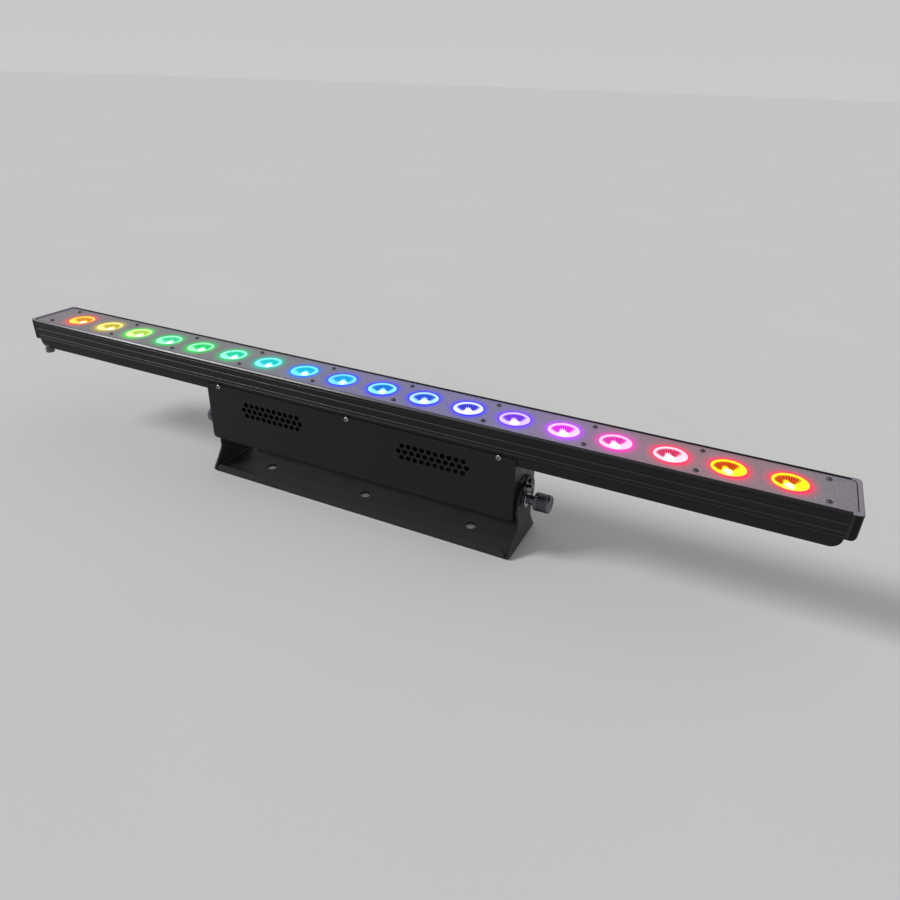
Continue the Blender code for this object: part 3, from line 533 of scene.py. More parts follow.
# each lamp's colours from the left end: overexposed rim, fluted wall, and the glow thrown on the plate
LAMP_RUN = (
    ((0.66, 0.54, 0.07), (0.88, 0.26, 0.02), (0.90, 0.06, 0.03)),
    ((0.62, 0.60, 0.22), (0.66, 0.52, 0.03), (0.51, 0.40, 0.05)),
    ((0.50, 0.62, 0.27), (0.50, 0.79, 0.07), (0.06, 0.72, 0.06)),
    ((0.25, 0.62, 0.43), (0.04, 0.79, 0.34), (0.00, 0.55, 0.08)),
    ((0.25, 0.62, 0.38), (0.00, 0.75, 0.18), (0.00, 0.58, 0.06)),
    ((0.23, 0.62, 0.52), (0.00, 0.75, 0.40), (0.00, 0.54, 0.15)),
    ((0.16, 0.60, 0.60), (0.00, 0.68, 0.68), (0.00, 0.45, 0.32)),
    ((0.12, 0.56, 0.64), (0.00, 0.56, 0.87), (0.00, 0.16, 0.79)),
    ((0.13, 0.50, 0.64), (0.00, 0.40, 0.91), (0.01, 0.05, 0.87)),
    ((0.17, 0.56, 0.64), (0.00, 0.16, 0.80), (0.01, 0.02, 1.00)),
    ((0.30, 0.54, 0.64), (0.00, 0.05, 0.80), (0.01, 0.01, 1.00)),
    ((0.52, 0.56, 0.66), (0.00, 0.00, 0.75), (0.02, 0.01, 1.00)),
    ((0.50, 0.38, 0.64), (0.17, 0.01, 0.87), (0.14, 0.02, 1.00)),
    ((0.64, 0.42, 0.64), (0.88, 0.00, 0.94), (0.48, 0.04, 0.96)),
    ((0.64, 0.42, 0.57), (0.87, 0.01, 0.48), (0.83, 0.02, 0.48)),
    ((0.65, 0.47, 0.55), (0.76, 0.01, 0.12), (1.00, 0.01, 0.10)),
    ((0.62, 0.62, 0.01), (0.70, 0.02, 0.01), (1.00, 0.01, 0.08)),
    ((0.62, 0.62, 0.01), (0.70, 0.03, 0.01), (1.00, 0.01, 0.08)))
RIM_GLOW = 1.7
WALL_GLOW = 0.85
CORE_GLOW = 4.0
SPILL_GLOW = 0.11
# the flutes show on the wall that faces the front right, and the glow leans the other way; both are
# fixed in the bar's own directions
FAR_WAY = (-0.418, 0.909)


def polar(x, y):
    """Distance from the middle, and the cosine of the angle from the far way."""
    radius = (x * x + y * y).math("SQRT")
    return radius, (x * FAR_WAY[0] + y * FAR_WAY[1]) / radius.math("MAXIMUM", 0.0005)


def lit_lens(name, rim, wall, thrown):
    """A lit collimator: overexposed rim, saturated flutes on the far wall and a white-hot middle."""
    made, where = start_material(name, Roughness=0.25, Specular_IOR_Level=0.08)
    x, y, _ = where.parts()
    radius, cosine = polar(x, y)
    part = radius / OPENING_RADIUS
    direction = where.node("ShaderNodeVectorMath", {0: where}, operation="NORMALIZE")
    ridge = (y.math("ARCTAN2", x) * FLUTES).math("COSINE").spread(-0.95, -0.2)
    streak = (ridge * noise(direction, 4.5, 3.0).spread(0.40, 0.54, 0.45, 1.0)).spread(0.06, 0.26, 0.60, 1.0)
    fan = cosine.spread(0.84, 1.0, 0.0, 0.20)
    band = (part - fan).spread(0.30, 0.42) * part.spread(0.78, 0.86, 1.0, 0.0)
    shade = band * cosine.spread(0.20, 0.55) * streak
    wedge = ramp(cosine.spread(-1.0, 1.0), ((0.0, 0.62), (0.10, 0.95), (0.30, 1.0), (1.0, 1.0)))
    hot = (part * wedge).spread(0.10, 0.44, 1.0, 0.0)
    hot = hot * hot
    glow = hot.spread(0.0, 1.0, RIM_GLOW, CORE_GLOW) * shade.spread(0.0, 1.0, 1.0, 0.0) + shade * WALL_GLOW
    return feed(made, Emission_Color=blend(shade, blend(hot, rim, scaled(rim, 0.55, 0.45)), wall),
                Emission_Strength=glow, Base_Color=blend(shade, scaled(thrown, 0.08), (0.0, 0.0, 0.0)))


def satin_plate(name):
    """Light grey satin plate with a fine grain, lit round each lamp and faintly between the lamps."""
    made, where = start_material(name, Metallic=0.25)
    grain, speck, cloudy = noise(where, 2600.0), noise(where, 520.0, 3.0, 0.7), noise(where, 14.0, 3.0)
    base = blend(grain.spread(0.3, 0.7), (0.185, 0.165, 0.206), (0.315, 0.290, 0.340))
    base = blend(speck.spread(0.38, 0.62, 0.0, 0.65), base, (0.390, 0.362, 0.415))
    base = blend(cloudy.spread(0.3, 0.7, 0.0, 0.35), base, (0.200, 0.184, 0.214))

    # the halo falls off from each lamp's opening, and reaches further on the near side
    x, y, _ = where.parts()
    along = (x - (LED_XS[0] - LED_PITCH / 2)) / LED_PITCH
    radius, cosine = polar((along.math("FRACT") - 0.5) * LED_PITCH, y)
    tip = cosine.spread(-0.10, -1.0).math("POWER", 2.0)
    near = (radius - tip * 0.0034).spread(OPENING_RADIUS - 0.0004, OPENING_RADIUS + 0.0115)
    fall = ramp(near, ((0.0, 1.0), (1.0, 0.0), (0.10, 0.95), (0.22, 0.56), (0.40, 0.25), (0.70, 0.07)))
    halo = fall * along.math("GREATER_THAN", 0.0) * along.math("LESS_THAN", LED_COUNT)
    # the spill tints the plate between the lamps, more on the right half
    spill = ramp(along.spread(-0.8, LED_COUNT + 0.5),
                 ((0.0, 0.0), (1.0, 0.0), (0.06, 0.25), (0.36, 0.25), (0.52, 1.0), (0.90, 0.9)), "EASE")
    both = halo + spill * SPILL_GLOW

    place = along / LED_COUNT
    hues = [thrown for _, _, thrown in LAMP_RUN]
    ends = [(0.0, hues[0]), (1.0, hues[-1])]
    own = ramp(place, ends + [(lamp / LED_COUNT, hues[lamp]) for lamp in range(1, LED_COUNT)], "CONSTANT")
    mixed = ramp(place, ends + [((lamp + 0.5) / LED_COUNT, hue) for lamp, hue in enumerate(hues)], "EASE")
    return feed(made, Base_Color=blend(halo, base, (0.03, 0.03, 0.03)),
                Roughness=grain.spread(0.3, 0.7, 0.36, 0.52), Normal=bump(grain, 0.00005),
                Emission_Color=blend(halo / both, mixed, own), Emission_Strength=both)


finishes = {
    "housing": black_extrusion("satin_black_extrusion"),
    "cap": cast_cap("satin_black_casting"),
    "box": powder_coat("black_powder_coat", (0.0080, 0.0080, 0.0105), 0.38),
    "bracket": powder_coat("bracket_powder_coat", (0.0230, 0.0230, 0.0275), 0.42, 1300.0, 0.00007),
    "plate": satin_plate("satin_grey_plate"),
    "steel": metal("bright_zinc_steel", (0.62, 0.62, 0.65), 0.22),
    "screw": metal("plated_screw", (0.12, 0.12, 0.13), 0.16),
    "nickel": metal("nickel_plated_screw", (0.36, 0.36, 0.38), 0.18),
    "bolt": metal("black_oxide_steel", (0.20, 0.20, 0.215), 0.18, dirt=0.2, shaded=0.4),
    "knob": metal("dark_knurled_metal", (0.17, 0.175, 0.20), 0.24, dirt=0.2, shaded=0.3),
    "supply": metal("folded_aluminium", (0.55, 0.56, 0.58), 0.38, stretch=(0.05, 1.0, 1.0)),
    "plastic": moulded("black_moulded_plastic", (0.020, 0.020, 0.022), 0.42),
    "nylon": moulded("black_nylon", (0.026, 0.026, 0.026), 0.50),
    "holder": moulded("black_lens_holder", (0.018, 0.018, 0.018), 0.50),
    "vent_plug": moulded("grey_vent_plug", (0.09, 0.09, 0.10), 0.40),
    "fuse": moulded("dark_red_cap", (0.26, 0.02, 0.02), 0.35),
    "board": circuit_board("white_solder_mask", (0.72, 0.72, 0.68), (0.80, 0.80, 0.77)),
    "green": circuit_board("green_solder_mask", (0.012, 0.11, 0.045), (0.03, 0.20, 0.08)),
    "window": glass_window("tinted_window"),
}
finishes.update({node: lit_lens(f"{node}_lit", *colours) for node, colours in zip(LENS_NODES, LAMP_RUN)})


# ---- screws ----

def add_recess(shape, half_x, half_y, floor, top):
    """One bar of a cross recess, with sloping walls."""
    rings = []
    for height, size in ((floor, 0.55), (top, 1.0)):
        corners = rectangle((-half_x * size, -half_y * size), (half_x * size, half_y * size))
        rings.append([(x, y, height) for x, y in corners])
    for ring in add_loft(shape, rings):
        shape.faces.new(ring)


def pan_head(radius, height):
    """A pan head with a cross recess, standing on z = 0 and pointing up."""
    profile = [(0.0, 0), (0.0, radius * 0.96), (height * 0.10, radius)]
    profile += [(height * (0.12 + 0.88 * rise), radius * (0.62 + 0.38 * out))
                for out, rise in arc((0, 0), 1, 0, 90, 8)[1:]]
    profile += [(height * 1.04, radius * 0.35), (height * 1.05, 0)]
    shape = built(add_turned, profile, "Z", (0, 0), 40)
    for wide, deep in ((0.60, 0.14), (0.14, 0.60)):
        shape = carve(shape, built(add_recess, radius * wide, radius * deep, height * 0.25, height * 1.20))
    return shape


def screw(name, radius, height, at, facing, finish="screw", node=None):
    """A pan-head screw whose head stands on a surface, turned by a chance angle."""
    shape = pan_head(radius, height)
    turn = Matrix.Rotation(random.uniform(0, math.pi / 2), 4, "Z")
    face = Vector(facing).to_track_quat("Z", "Y").to_matrix().to_4x4()
    shape.transform(Matrix.Translation(Vector(at)) @ face @ turn)
    piece(name, shape, finish, node)


# ---- the bar ----

def make_housing():
    """The extrusion, with its grooves, rim, ledges and screw ribs, all corners softened."""
    top, side = PLATE_TOP, BAR_SIDE
    outside = [(RIM_INSIDE, RIM_TOP), (side - RIM_CHAMFER, RIM_TOP), (side, RIM_TOP - RIM_CHAMFER)]
    outside += [(side, top - 0.0028), (side - 0.0005, top - 0.0032), (side, top - 0.0036)]
    for groove_top, groove_bottom, depth in GROOVES:
        outside += [(side, top - groove_top), (side - depth, top - groove_top),
                    (side - depth, top - groove_bottom), (side, top - groove_bottom)]
    outside.append((side, HOUSING_BOTTOM))
    floor, ledge = HOUSING_BOTTOM + 0.003, top - 0.0018
    rib_in, rib_out, wall = 0.0187, 0.0232, 0.0285
    inside = [(rib_in, floor), (rib_in, ledge), (rib_out, ledge), (rib_out, floor),
              (wall, floor), (wall, ledge), (RIM_INSIDE, ledge)]
    half = inside + outside
    shape = built(add_prism, fillet(half + mirrored(half), 0.00028), "X", -HOUSING_END, HOUSING_END)
    piece("housing_extrusion", shape, "housing", "bar_housing")


def make_end_cap(node, side):
    """Cast end cap with round corners, a seat for the face plate and two screws in counterbores."""
    inner, outer, corner, edge = cap_low.x + 0.0057, BAR_HALF, 0.005, 0.0018
    profile = [(inner, RIM_TOP), (inner, HOUSING_BOTTOM)]
    profile += arc((outer - corner, HOUSING_BOTTOM + corner), corner, -90, 0, 10)
    profile += arc((outer - edge, RIM_TOP - edge), edge, 0, 90, 8)
    shape = built(add_prism, profile, "Y", -BAR_SIDE, BAR_SIDE)

    plan = [(inner - CUT, -BAR_SIDE)] + arc((outer - corner, corner - BAR_SIDE), corner, -90, 0, 12)
    plan += arc((outer - corner, BAR_SIDE - corner), corner, 0, 90, 12) + [(inner - CUT, BAR_SIDE)]
    seat_half, seat_end = 0.0156, plate_high.x + 0.0006
    seat = rounded_outline(seat_half, RIM_INSIDE, 0.0048, centre=(seat_end - seat_half, 0))
    bore_floor = outer - CAP_BORE_DEPTH

    def bores(tool):
        for y in (-CAP_SCREW_Y, CAP_SCREW_Y):
            add_pin(tool, bore_floor, outer + CUT, CAP_BORE_RADIUS, "X", (y, CAP_SCREW_Z), 40)

    shape = carve(shape, built(add_prism, plan, "Z", HOUSING_BOTTOM - CUT, RIM_TOP + CUT), "INTERSECT")
    shape = carve(shape, built(add_prism, seat, "Z", PLATE_TOP - 0.0018, RIM_TOP + CUT))
    shape = carve(shape, built(bores))
    if side < 0:
        shape.transform(Matrix.Scale(-1, 4, (1, 0, 0)))
    piece(f"{node}_casting", shape, "cap", node, bevel=0.0003)
    for number, y in enumerate((-CAP_SCREW_Y, CAP_SCREW_Y), 1):
        screw(f"{node}_screw_{number}", 0.0027, 0.0016, (side * bore_floor, y, CAP_SCREW_Z), (side, 0, 0))


def make_face_plate():
    """The grey plate with its openings, and its screws two by two."""
    openings = [circle((x, 0), OPENING_RADIUS, 72) for x in LED_XS]
    shape = built(add_sheet, rounded_outline(plate_high.x, plate_high.y, 0.0045, 10), openings, "Z",
                  plate_low.z, plate_high.z, 0.00022)
    piece("face_plate_sheet", shape, "plate", "face_plate")
    places = [(sign_x * x, sign_y * PLATE_SCREW_Y)
              for x in PLATE_SCREW_XS for sign_x in (-1, 1) for sign_y in (-1, 1)]
    for number, place in enumerate(places, 1):
        screw(f"plate_screw_{number:02d}", 0.0026, 0.0015, (*place, PLATE_TOP), (0, 0, 1))


def lens_rings():
    """A lens about its own centre, from its outer edge inwards: rim, fluted bowl and a small dome."""
    bowl, bowl_top, bowl_depth, bowl_width = 0.0142, -0.0006, 0.0040, 0.0094
    profile = [(0.01575, -0.0034, 0), (0.01575, -0.0007, 0), (0.01562, -0.0004, 0), (0.01535, -0.00022, 0),
               (0.0149, -0.0002, 0), (0.0145, -0.00028, 0), (bowl, bowl_top, 0)]
    steps = 14
    for step in range(1, steps + 1):
        part = step / steps
        profile.append((bowl - bowl_width * part, bowl_top - bowl_depth * (1 - (1 - part) ** 1.7),
                        0.00034 * math.sin(math.pi * part) ** 0.6))
    dome_radius, dome_height, base = 0.0044, 0.0018, profile[-1][1]
    profile += [(dome_radius * out, base + dome_height * rise, 0)
                for out, rise in arc((0, 0), 1, 0, 90, 8)[1:-1]]
    profile.append((0, base + dome_height, 0))
    rings = []
    for radius, height, ripple in profile:
        sides = FLUTES * 6 if radius else 1
        angles = [2 * math.pi * side / sides for side in range(sides)]
        rings.append([(radius * math.cos(a), radius * math.sin(a), height - ripple * math.cos(FLUTES * a))
                      for a in angles])
    return rings


def make_lenses():
    rings = lens_rings()
    for node, x in zip(LENS_NODES, LED_XS):
        piece(f"{node}_optic", built(add_loft, rings), node, node, place=(x, 0, PLATE_TOP))


def make_back_cover():
    """The lower cover: a shallow tub with round ends under the bar."""
    reach, bottom, radius = cover_high.x, cover_low.z, 0.010
    left = [(-reach, cover_high.z)] + arc((radius - reach, bottom + radius), radius, 180, 270, 12)
    shape = built(add_prism, left + mirrored(left), "Y", cover_low.y, cover_high.y)
    piece("back_cover_tub", shape, "box", "back_cover", bevel=0.0005, segments=3)


def make_breather_plug():
    low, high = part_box("breather_plug")
    x, y, _ = middle("breather_plug")
    seat, body, neck = cover_low.z, 0.0055, 0.0033
    profile = [(low.z + 0.0008, 0), (low.z + 0.0008, 0.0018), (low.z, 0.0022), (low.z, 0.0044),
               (low.z + 0.0004, 0.0051), (low.z + 0.0012, body), (seat - 0.0022, body),
               (seat - 0.0018, 0.0050), (seat - 0.0014, 0.0050), (seat - 0.0010, body), (seat - GAP, body),
               (seat - GAP, neck), (high.z, neck), (high.z, 0)]
    piece("breather_plug_turned", built(add_turned, profile, "Z", (x, y)), "vent_plug", "breather_plug")


# ---- driver box ----

def make_driver_box():
    """The folded box with its bends, and the cut-outs of the rear panel and side walls."""
    bend, inner = 0.0020, box_high.x - BOX_WALL
    front, rear, bottom, top = box_low.y, box_high.y, box_low.z, box_high.z
    through = (rear - BOX_WALL - CUT, rear + CUT)
    outline = [(front, bottom), *arc((rear - bend, bottom + bend), bend, -90, 0, 6),
               *arc((rear - bend, top - bend), bend, 0, 90, 6), (front, top)]
    shape = built(add_prism, outline, "X", box_low.x, box_high.x)
    hollow = built(add_block, (-inner, front - CUT, bottom + BOX_WALL),
                   (inner, rear - BOX_WALL, top - BOX_WALL))
    window_low, window_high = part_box("display_window")
    window = middle("display_window")
    half = (window_high - window_low) / 2
    latch = middle("dmx_latch")

    def holes(tool):
        for node, radius in (("dmx_in_socket", 0.0124), ("dmx_out_socket", 0.0124), ("fuse_holder", 0.0064)):
            add_pin(tool, *through, radius, "Y", (middle(node).x, CONNECTOR_Z))
        for node in ("power_inlet", "power_outlet"):
            add_pad(tool, middle(node).x, CONNECTOR_Z, 0.0144, 0.0104, *through)
        for button in map(middle, BUTTONS):
            add_pin(tool, *through, BUTTON_HOLE, "Y", (button.x, button.z), 32)
        add_pad(tool, window.x, window.z, half.x + GAP, half.z + GAP, *through)
        for side in (-1, 1):
            ends = sorted((side * (inner - CUT), side * (inner + CUT + BOX_WALL)))
            add_pin(tool, *ends, 0.0044, "X", (0, PIVOT_Z))
            add_pin(tool, *ends, 0.0032, "X", (GUIDE.y, GUIDE.z), 32)

    latch_slot = built(add_pad, latch.x, latch.z - 0.0010, 0.0034, 0.0038, *through)
    for cutter in (hollow, built(holes), latch_slot):
        shape = carve(shape, cutter)
    piece("driver_box_folded", shape, "box", "driver_box", bevel=0.0002)


def make_front_cover():
    """The vented front sheet: two grilles of round holes and three screws along the top."""
    corner, row_pitch = 0.004, VENT_PITCH * math.sqrt(3) / 2
    outline = [(front_high.x, front_high.z), (front_low.x, front_high.z)]
    outline += arc((front_low.x + corner, front_low.z + corner), corner, 180, 270, 10)
    outline += arc((front_high.x - corner, front_low.z + corner), corner, 270, 360, 10)
    vents = [circle((x + (step - (count - 1) / 2) * VENT_PITCH, VENT_TOP - row * row_pitch), VENT_RADIUS, 32)
             for x in GRILLE_XS for row, count in enumerate(VENT_ROWS) for step in range(count)]
    shape = built(add_sheet, outline, vents, "Y", front_low.y, front_high.y, 0.00018)
    piece("front_cover_sheet", shape, "box", "vented_front_cover")
    for node in ("cover_screw_1", "cover_screw_2", "cover_screw_3"):
        at = middle(node)
        screw(f"{node}_head", 0.0031, 0.0019, (at.x, front_low.y, at.z), (0, -1, 0), "nickel", node)


# ---- bracket ----

def make_bracket():
    """One folded sheet: base with upturned lips, two arms, mounting holes, pivot holes and slots."""
    arm_out, arm_in, bend = bracket_high.x, bracket_high.x - SHEET, 0.0045
    side, lip_out, inner = 0.0380, bracket_high.y, bend - SHEET
    reach, pivot = arm_out + CUT, (0, PIVOT_Z)
    right = [(arm_out, bracket_high.z), (arm_in, bracket_high.z)]
    right += arc((arm_in - inner, SHEET + inner), inner, 0, -90, 8)
    under = arc((arm_out - bend, bend), bend, -90, 0, 12)
    shape = built(add_prism, right + mirrored(right) + mirrored(under) + under, "Y", -side, side)

    def arms(tool):
        """What stays of the sides: a foot that flares out below a round head."""
        head, waist, waist_z = bracket_high.z - PIVOT_Z, 0.0205, 0.0275
        flare = [(waist + (side - waist) * (1 - step / 16) ** 1.15, SHEET + (waist_z - SHEET) * step / 16)
                 for step in range(17)]
        edge = [(side + CUT, -CUT), (side + CUT, SHEET)] + flare
        edge += arc(pivot, head, -math.degrees(math.acos(waist / head)), 90, 30)
        add_prism(tool, edge + mirrored(edge[:-1]), "X", -reach, reach)

    def lips(tool):
        """A channel whose two walls are the lips."""
        out, within = 0.0026, 0.0006
        edge, floor = lip_out - SHEET - 0.0001, SHEET - 0.00005
        half = arc((lip_out - out, out), out, 270, 360, 6) + [(lip_out, LIP_HEIGHT), (edge, LIP_HEIGHT)]
        half += arc((edge - within, floor + within), within, 0, -90, 4)
        add_prism(tool, half + mirrored(half), "X", -LIP_HALF, LIP_HALF)

    def lip_corners(tool):
        """What goes from the upper corners of the lips."""
        radius = 0.0045
        outline = [(LIP_HALF - radius, LIP_HEIGHT + CUT)]
        outline += arc((LIP_HALF - radius, LIP_HEIGHT - radius), radius, 90, 0, 8)
        outline += [(LIP_HALF + CUT, LIP_HEIGHT - radius), (LIP_HALF + CUT, LIP_HEIGHT + CUT)]
        for corner in (outline, mirrored(outline)):
            for y in (-lip_out, lip_out):
                add_prism(tool, corner, "Y", y - CUT, y + CUT)

    def holes(tool):
        for x in CLAMP_HOLE_XS:
            add_pin(tool, -CUT, SHEET + CUT, 0.00625, "Z", (x, 0), 56)
        add_pin(tool, -reach, reach, 0.0046, "X", pivot)
        orbit, half = math.hypot(GUIDE.y, GUIDE.z - PIVOT_Z), 0.0033
        rest = math.degrees(math.atan2(GUIDE.z - PIVOT_Z, GUIDE.y))
        low, high = rest - SLOT_REACH, rest + SLOT_REACH
        slot = arc(pivot, orbit + half, low, high, 32)
        slot += arc(on_circle(pivot, orbit, high), half, high, high + 180, 14)[1:-1]
        slot += arc(pivot, orbit - half, high, low, 28)
        slot += arc(on_circle(pivot, orbit, low), half, low + 180, low + 360, 14)[1:-1]
        add_prism(tool, slot, "X", -reach, reach)

    shape = carve(shape, built(arms), "INTERSECT")
    shape = carve(shape, carve(built(lips), built(lip_corners)), "UNION")
    piece("bracket_sheet", carve(shape, built(holes)), "bracket", "yoke_bracket", "bracket", bevel=0.0003)


# ---- pivot hardware, the same on both sides: side is 1 on the right and -1 on the left ----

def make_washer(name, side):
    node = f"knob_washer_{name}"
    near, far = reach_of(node)
    bore, edge, soft = 0.0043, 0.0095, 0.0002
    profile = [(near, bore), (near, edge - soft), (near + soft, edge), (far - soft, edge), (far, edge - soft),
               (far, bore), (near, bore)]
    shape = built(add_turned, [(side * x, r) for x, r in profile], "X", (0, PIVOT_Z), 56)
    piece(f"{node}_ring", shape, "steel", node, f"{name}_washer")


def make_knob(name, side):
    """Threaded stud, collar, and a grip whose ridges run slanting round it."""
    node = f"knob_{name}"
    tip, end = reach_of(node)
    neck = reach_of(f"knob_washer_{name}")[1] + GAP
    skirt, radius = end - 0.0177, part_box(node)[1].z - PIVOT_Z
    rings = [[(side * tip, 0, PIVOT_Z)]]

    def ring(x, r, cut=0.0, twist=0.0):
        """A ring whose points lie on the ridges' crests and grooves, turned by a part of a ridge."""
        points = []
        for step in range(KNURLS * 6):
            angle = 2 * math.pi * (step / 6 - twist) / KNURLS
            reach = r - cut * (1.0, 0.8, 0.05, 0.0, 0.05, 0.8)[step % 6]
            points.append((side * x, reach * math.cos(angle), PIVOT_Z + reach * math.sin(angle)))
        rings.append(points)

    ring(tip, 0.0033)
    for turn in range(int((neck - tip - 0.001) / THREAD_PITCH)):
        ring(tip + turn * THREAD_PITCH + 0.0006, 0.0040)
        ring(tip + turn * THREAD_PITCH + 0.0012, 0.0034)
    for x, r in ((neck, 0.0040), (neck, 0.0050), (neck + 0.0004, 0.0054), (skirt - 0.0004, 0.0054),
                 (skirt, 0.0060), (skirt, 0.0088), (skirt + 0.0008, radius - 0.0005)):
        ring(x, r)
    bands, first, last = 16, skirt + 0.0012, end - 0.0016
    for band in range(bands + 1):
        part = band / bands
        fade = min(1.0, 6 * part, 6 * (1 - part))
        ring(first + (last - first) * part, radius, 0.0010 * fade, KNURL_TWIST * part)
    for back, less in ((0.0012, 0.0001), (0.0004, 0.0005), (0, 0.0011), (0, 0.0018), (0.0005, 0.0022),
                       (0.0010, 0.0040), (0.0012, radius - 0.0026)):
        ring(end - back, radius - less, twist=KNURL_TWIST)
    rings.append([(side * (end - 0.0013), 0, PIVOT_Z)])
    piece(f"{node}_knurled", built(add_loft, rings), "knob", node, f"{name}_knob")


def make_guide_bolt(name, side):
    """Shank, washer and a round head with a hexagon socket, outside the arm."""
    node = f"guide_bolt_{name}"
    tip, end = reach_of(node)
    seat, where = bracket_high.x + GAP, (GUIDE.y, GUIDE.z)
    profile = [(tip, 0), (tip, 0.0025), (tip + 0.0004, 0.0029)]
    profile += [(seat + rise, radius) for rise, radius in (
        (0, 0.0029), (0, 0.0060), (0.0002, 0.0062), (0.0012, 0.0062), (0.0014, 0.0060), (0.0014, 0.0044),
        (0.0018, 0.0046))]
    profile += [(end - 0.0005, 0.0046), (end - 0.0001, 0.0042), (end, 0.0040), (end, 0)]
    shape = built(add_turned, [(side * x, r) for x, r in profile], "X", where, 48)
    ends = sorted((side * (end - (end - seat) * 0.45), side * (end + CUT)))
    socket = built(add_prism, circle(where, 0.0026, 6), "X", *ends)
    piece(f"{node}_turned", carve(shape, socket), "bolt", node)


# ---- rear panel ----

def make_data_socket(node, male):
    """A round three-pole panel socket, with pins in an open shell or three holes in a solid face."""
    low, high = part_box(node)
    x, back, rim, face, contact_ring = middle(node).x, low.y, high.y, PANEL_FACE - 0.0006, 0.0042
    centre = (x, CONNECTOR_Z)
    shape = built(add_prism, rounded_outline(0.0130, 0.0155, 0.0022, 6, centre), "Y", PANEL_BACK, PANEL_FACE)
    shape = carve(shape, built(add_pin, back, rim, 0.0120, "Y", centre, 64), "UNION")
    if male:
        shape = carve(shape, built(add_pin, back + 0.003, rim + CUT, 0.0088, "Y", centre, 64))
    else:
        moat_floor, moat_in, moat_out = face - 0.008, 0.0080, 0.0098
        moat = [(moat_floor, moat_in), (moat_floor, moat_out), (rim + CUT, moat_out), (rim + CUT, moat_in),
                (moat_floor, moat_in)]

        def pin_holes(tool):
            for turn in (90, 210, 330):
                at = on_circle(centre, contact_ring, turn)
                add_pin(tool, face - 0.012, rim + CUT, 0.0013, "Y", at, 20)

        latch = middle("dmx_latch")
        for cutter in (built(add_turned, moat, "Y", centre, 64),
                       built(add_pin, face, rim + CUT, 0.0090, "Y", centre, 64), built(pin_holes),
                       built(add_pad, latch.x, latch.z, 0.0028, 0.0022, back - CUT, rim + CUT)):
            shape = carve(shape, cutter)
    piece(f"{node}_shell", shape, "plastic", node, bevel=0.0002)
    for number, turn in enumerate((30, 150, 270) if male else (), 1):
        profile = [(back + 0.003, 0.0012), (rim - 0.0068, 0.0012), (rim - 0.0061, 0.0008), (rim - 0.0060, 0)]
        contact = built(add_turned, profile, "Y", on_circle(centre, contact_ring, turn), 20)
        piece(f"{node}_pin_{number}", contact, "steel")
    for number, sign in enumerate((-1, 1), 1):
        at = (x + sign * 0.0103, PANEL_FACE, CONNECTOR_Z - sign * 0.0128)
        screw(f"{node}_screw_{number}", 0.0019, 0.0008, at, (0, 1, 0))


def make_latch():
    """The thumb tab that frees the plug, with ribs across its face."""
    low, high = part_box("dmx_latch")
    centre, half_x = middle("dmx_latch"), (high.x - low.x) / 2
    section = fillet(rectangle((low.y, low.z), (high.y, high.z)), 0.0005)
    shape = built(add_prism, section, "X", low.x, high.x)

    def grooves(tool):
        for step in (-1, 0, 1):
            add_pad(tool, centre.x, centre.z + step * 0.0009, half_x - 0.0006, 0.0002, high.y - 0.0003,
                    high.y + CUT)

    piece("dmx_latch_tab", carve(shape, built(grooves)), "steel", "dmx_latch", "latch")


def make_power_socket(node, male):
    """A mains panel socket: three blades in a recess, or a face with three slots."""
    x, back = middle(node).x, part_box(node)[0].y
    centre, low_z, high_z = (x, CONNECTOR_Z), CONNECTOR_Z - 0.0020, CONNECTOR_Z + 0.0020
    contacts = ((x - 0.0070, low_z), (x + 0.0070, low_z), (x, high_z))
    body = rounded_outline(0.0140, 0.0100, 0.0025, 6, centre)
    flange = rounded_outline(0.0185, 0.0125, 0.0030, 8, centre)
    opening = rounded_outline(0.0122, 0.0082, 0.0022, 6, centre)

    def recess(tool):
        add_prism(tool, opening, "Y", back + 0.003, PANEL_FACE + CUT)

    def slots(tool):
        for contact in contacts:
            add_pad(tool, *contact, 0.0013, 0.0024, PANEL_FACE - 0.0150, PANEL_FACE + CUT)

    shape = built(add_prism, body, "Y", back, PANEL_FACE - 0.0005)
    shape = carve(shape, built(add_prism, flange, "Y", PANEL_BACK, PANEL_FACE), "UNION")
    shape = carve(shape, built(recess if male else slots))
    piece(f"{node}_moulding", shape, "plastic", node, bevel=0.0002)
    for number, contact in enumerate(contacts if male else (), 1):
        blade = built(add_pad, *contact, 0.0010, 0.0020, back + 0.003, PANEL_FACE - 0.0070)
        piece(f"{node}_blade_{number}", blade, "steel", bevel=0.0003)
    for number, sign in enumerate((-1, 1), 1):
        at = (x + sign * 0.0163, PANEL_FACE, CONNECTOR_Z)
        screw(f"{node}_screw_{number}", 0.0016, 0.0008, at, (0, 1, 0))


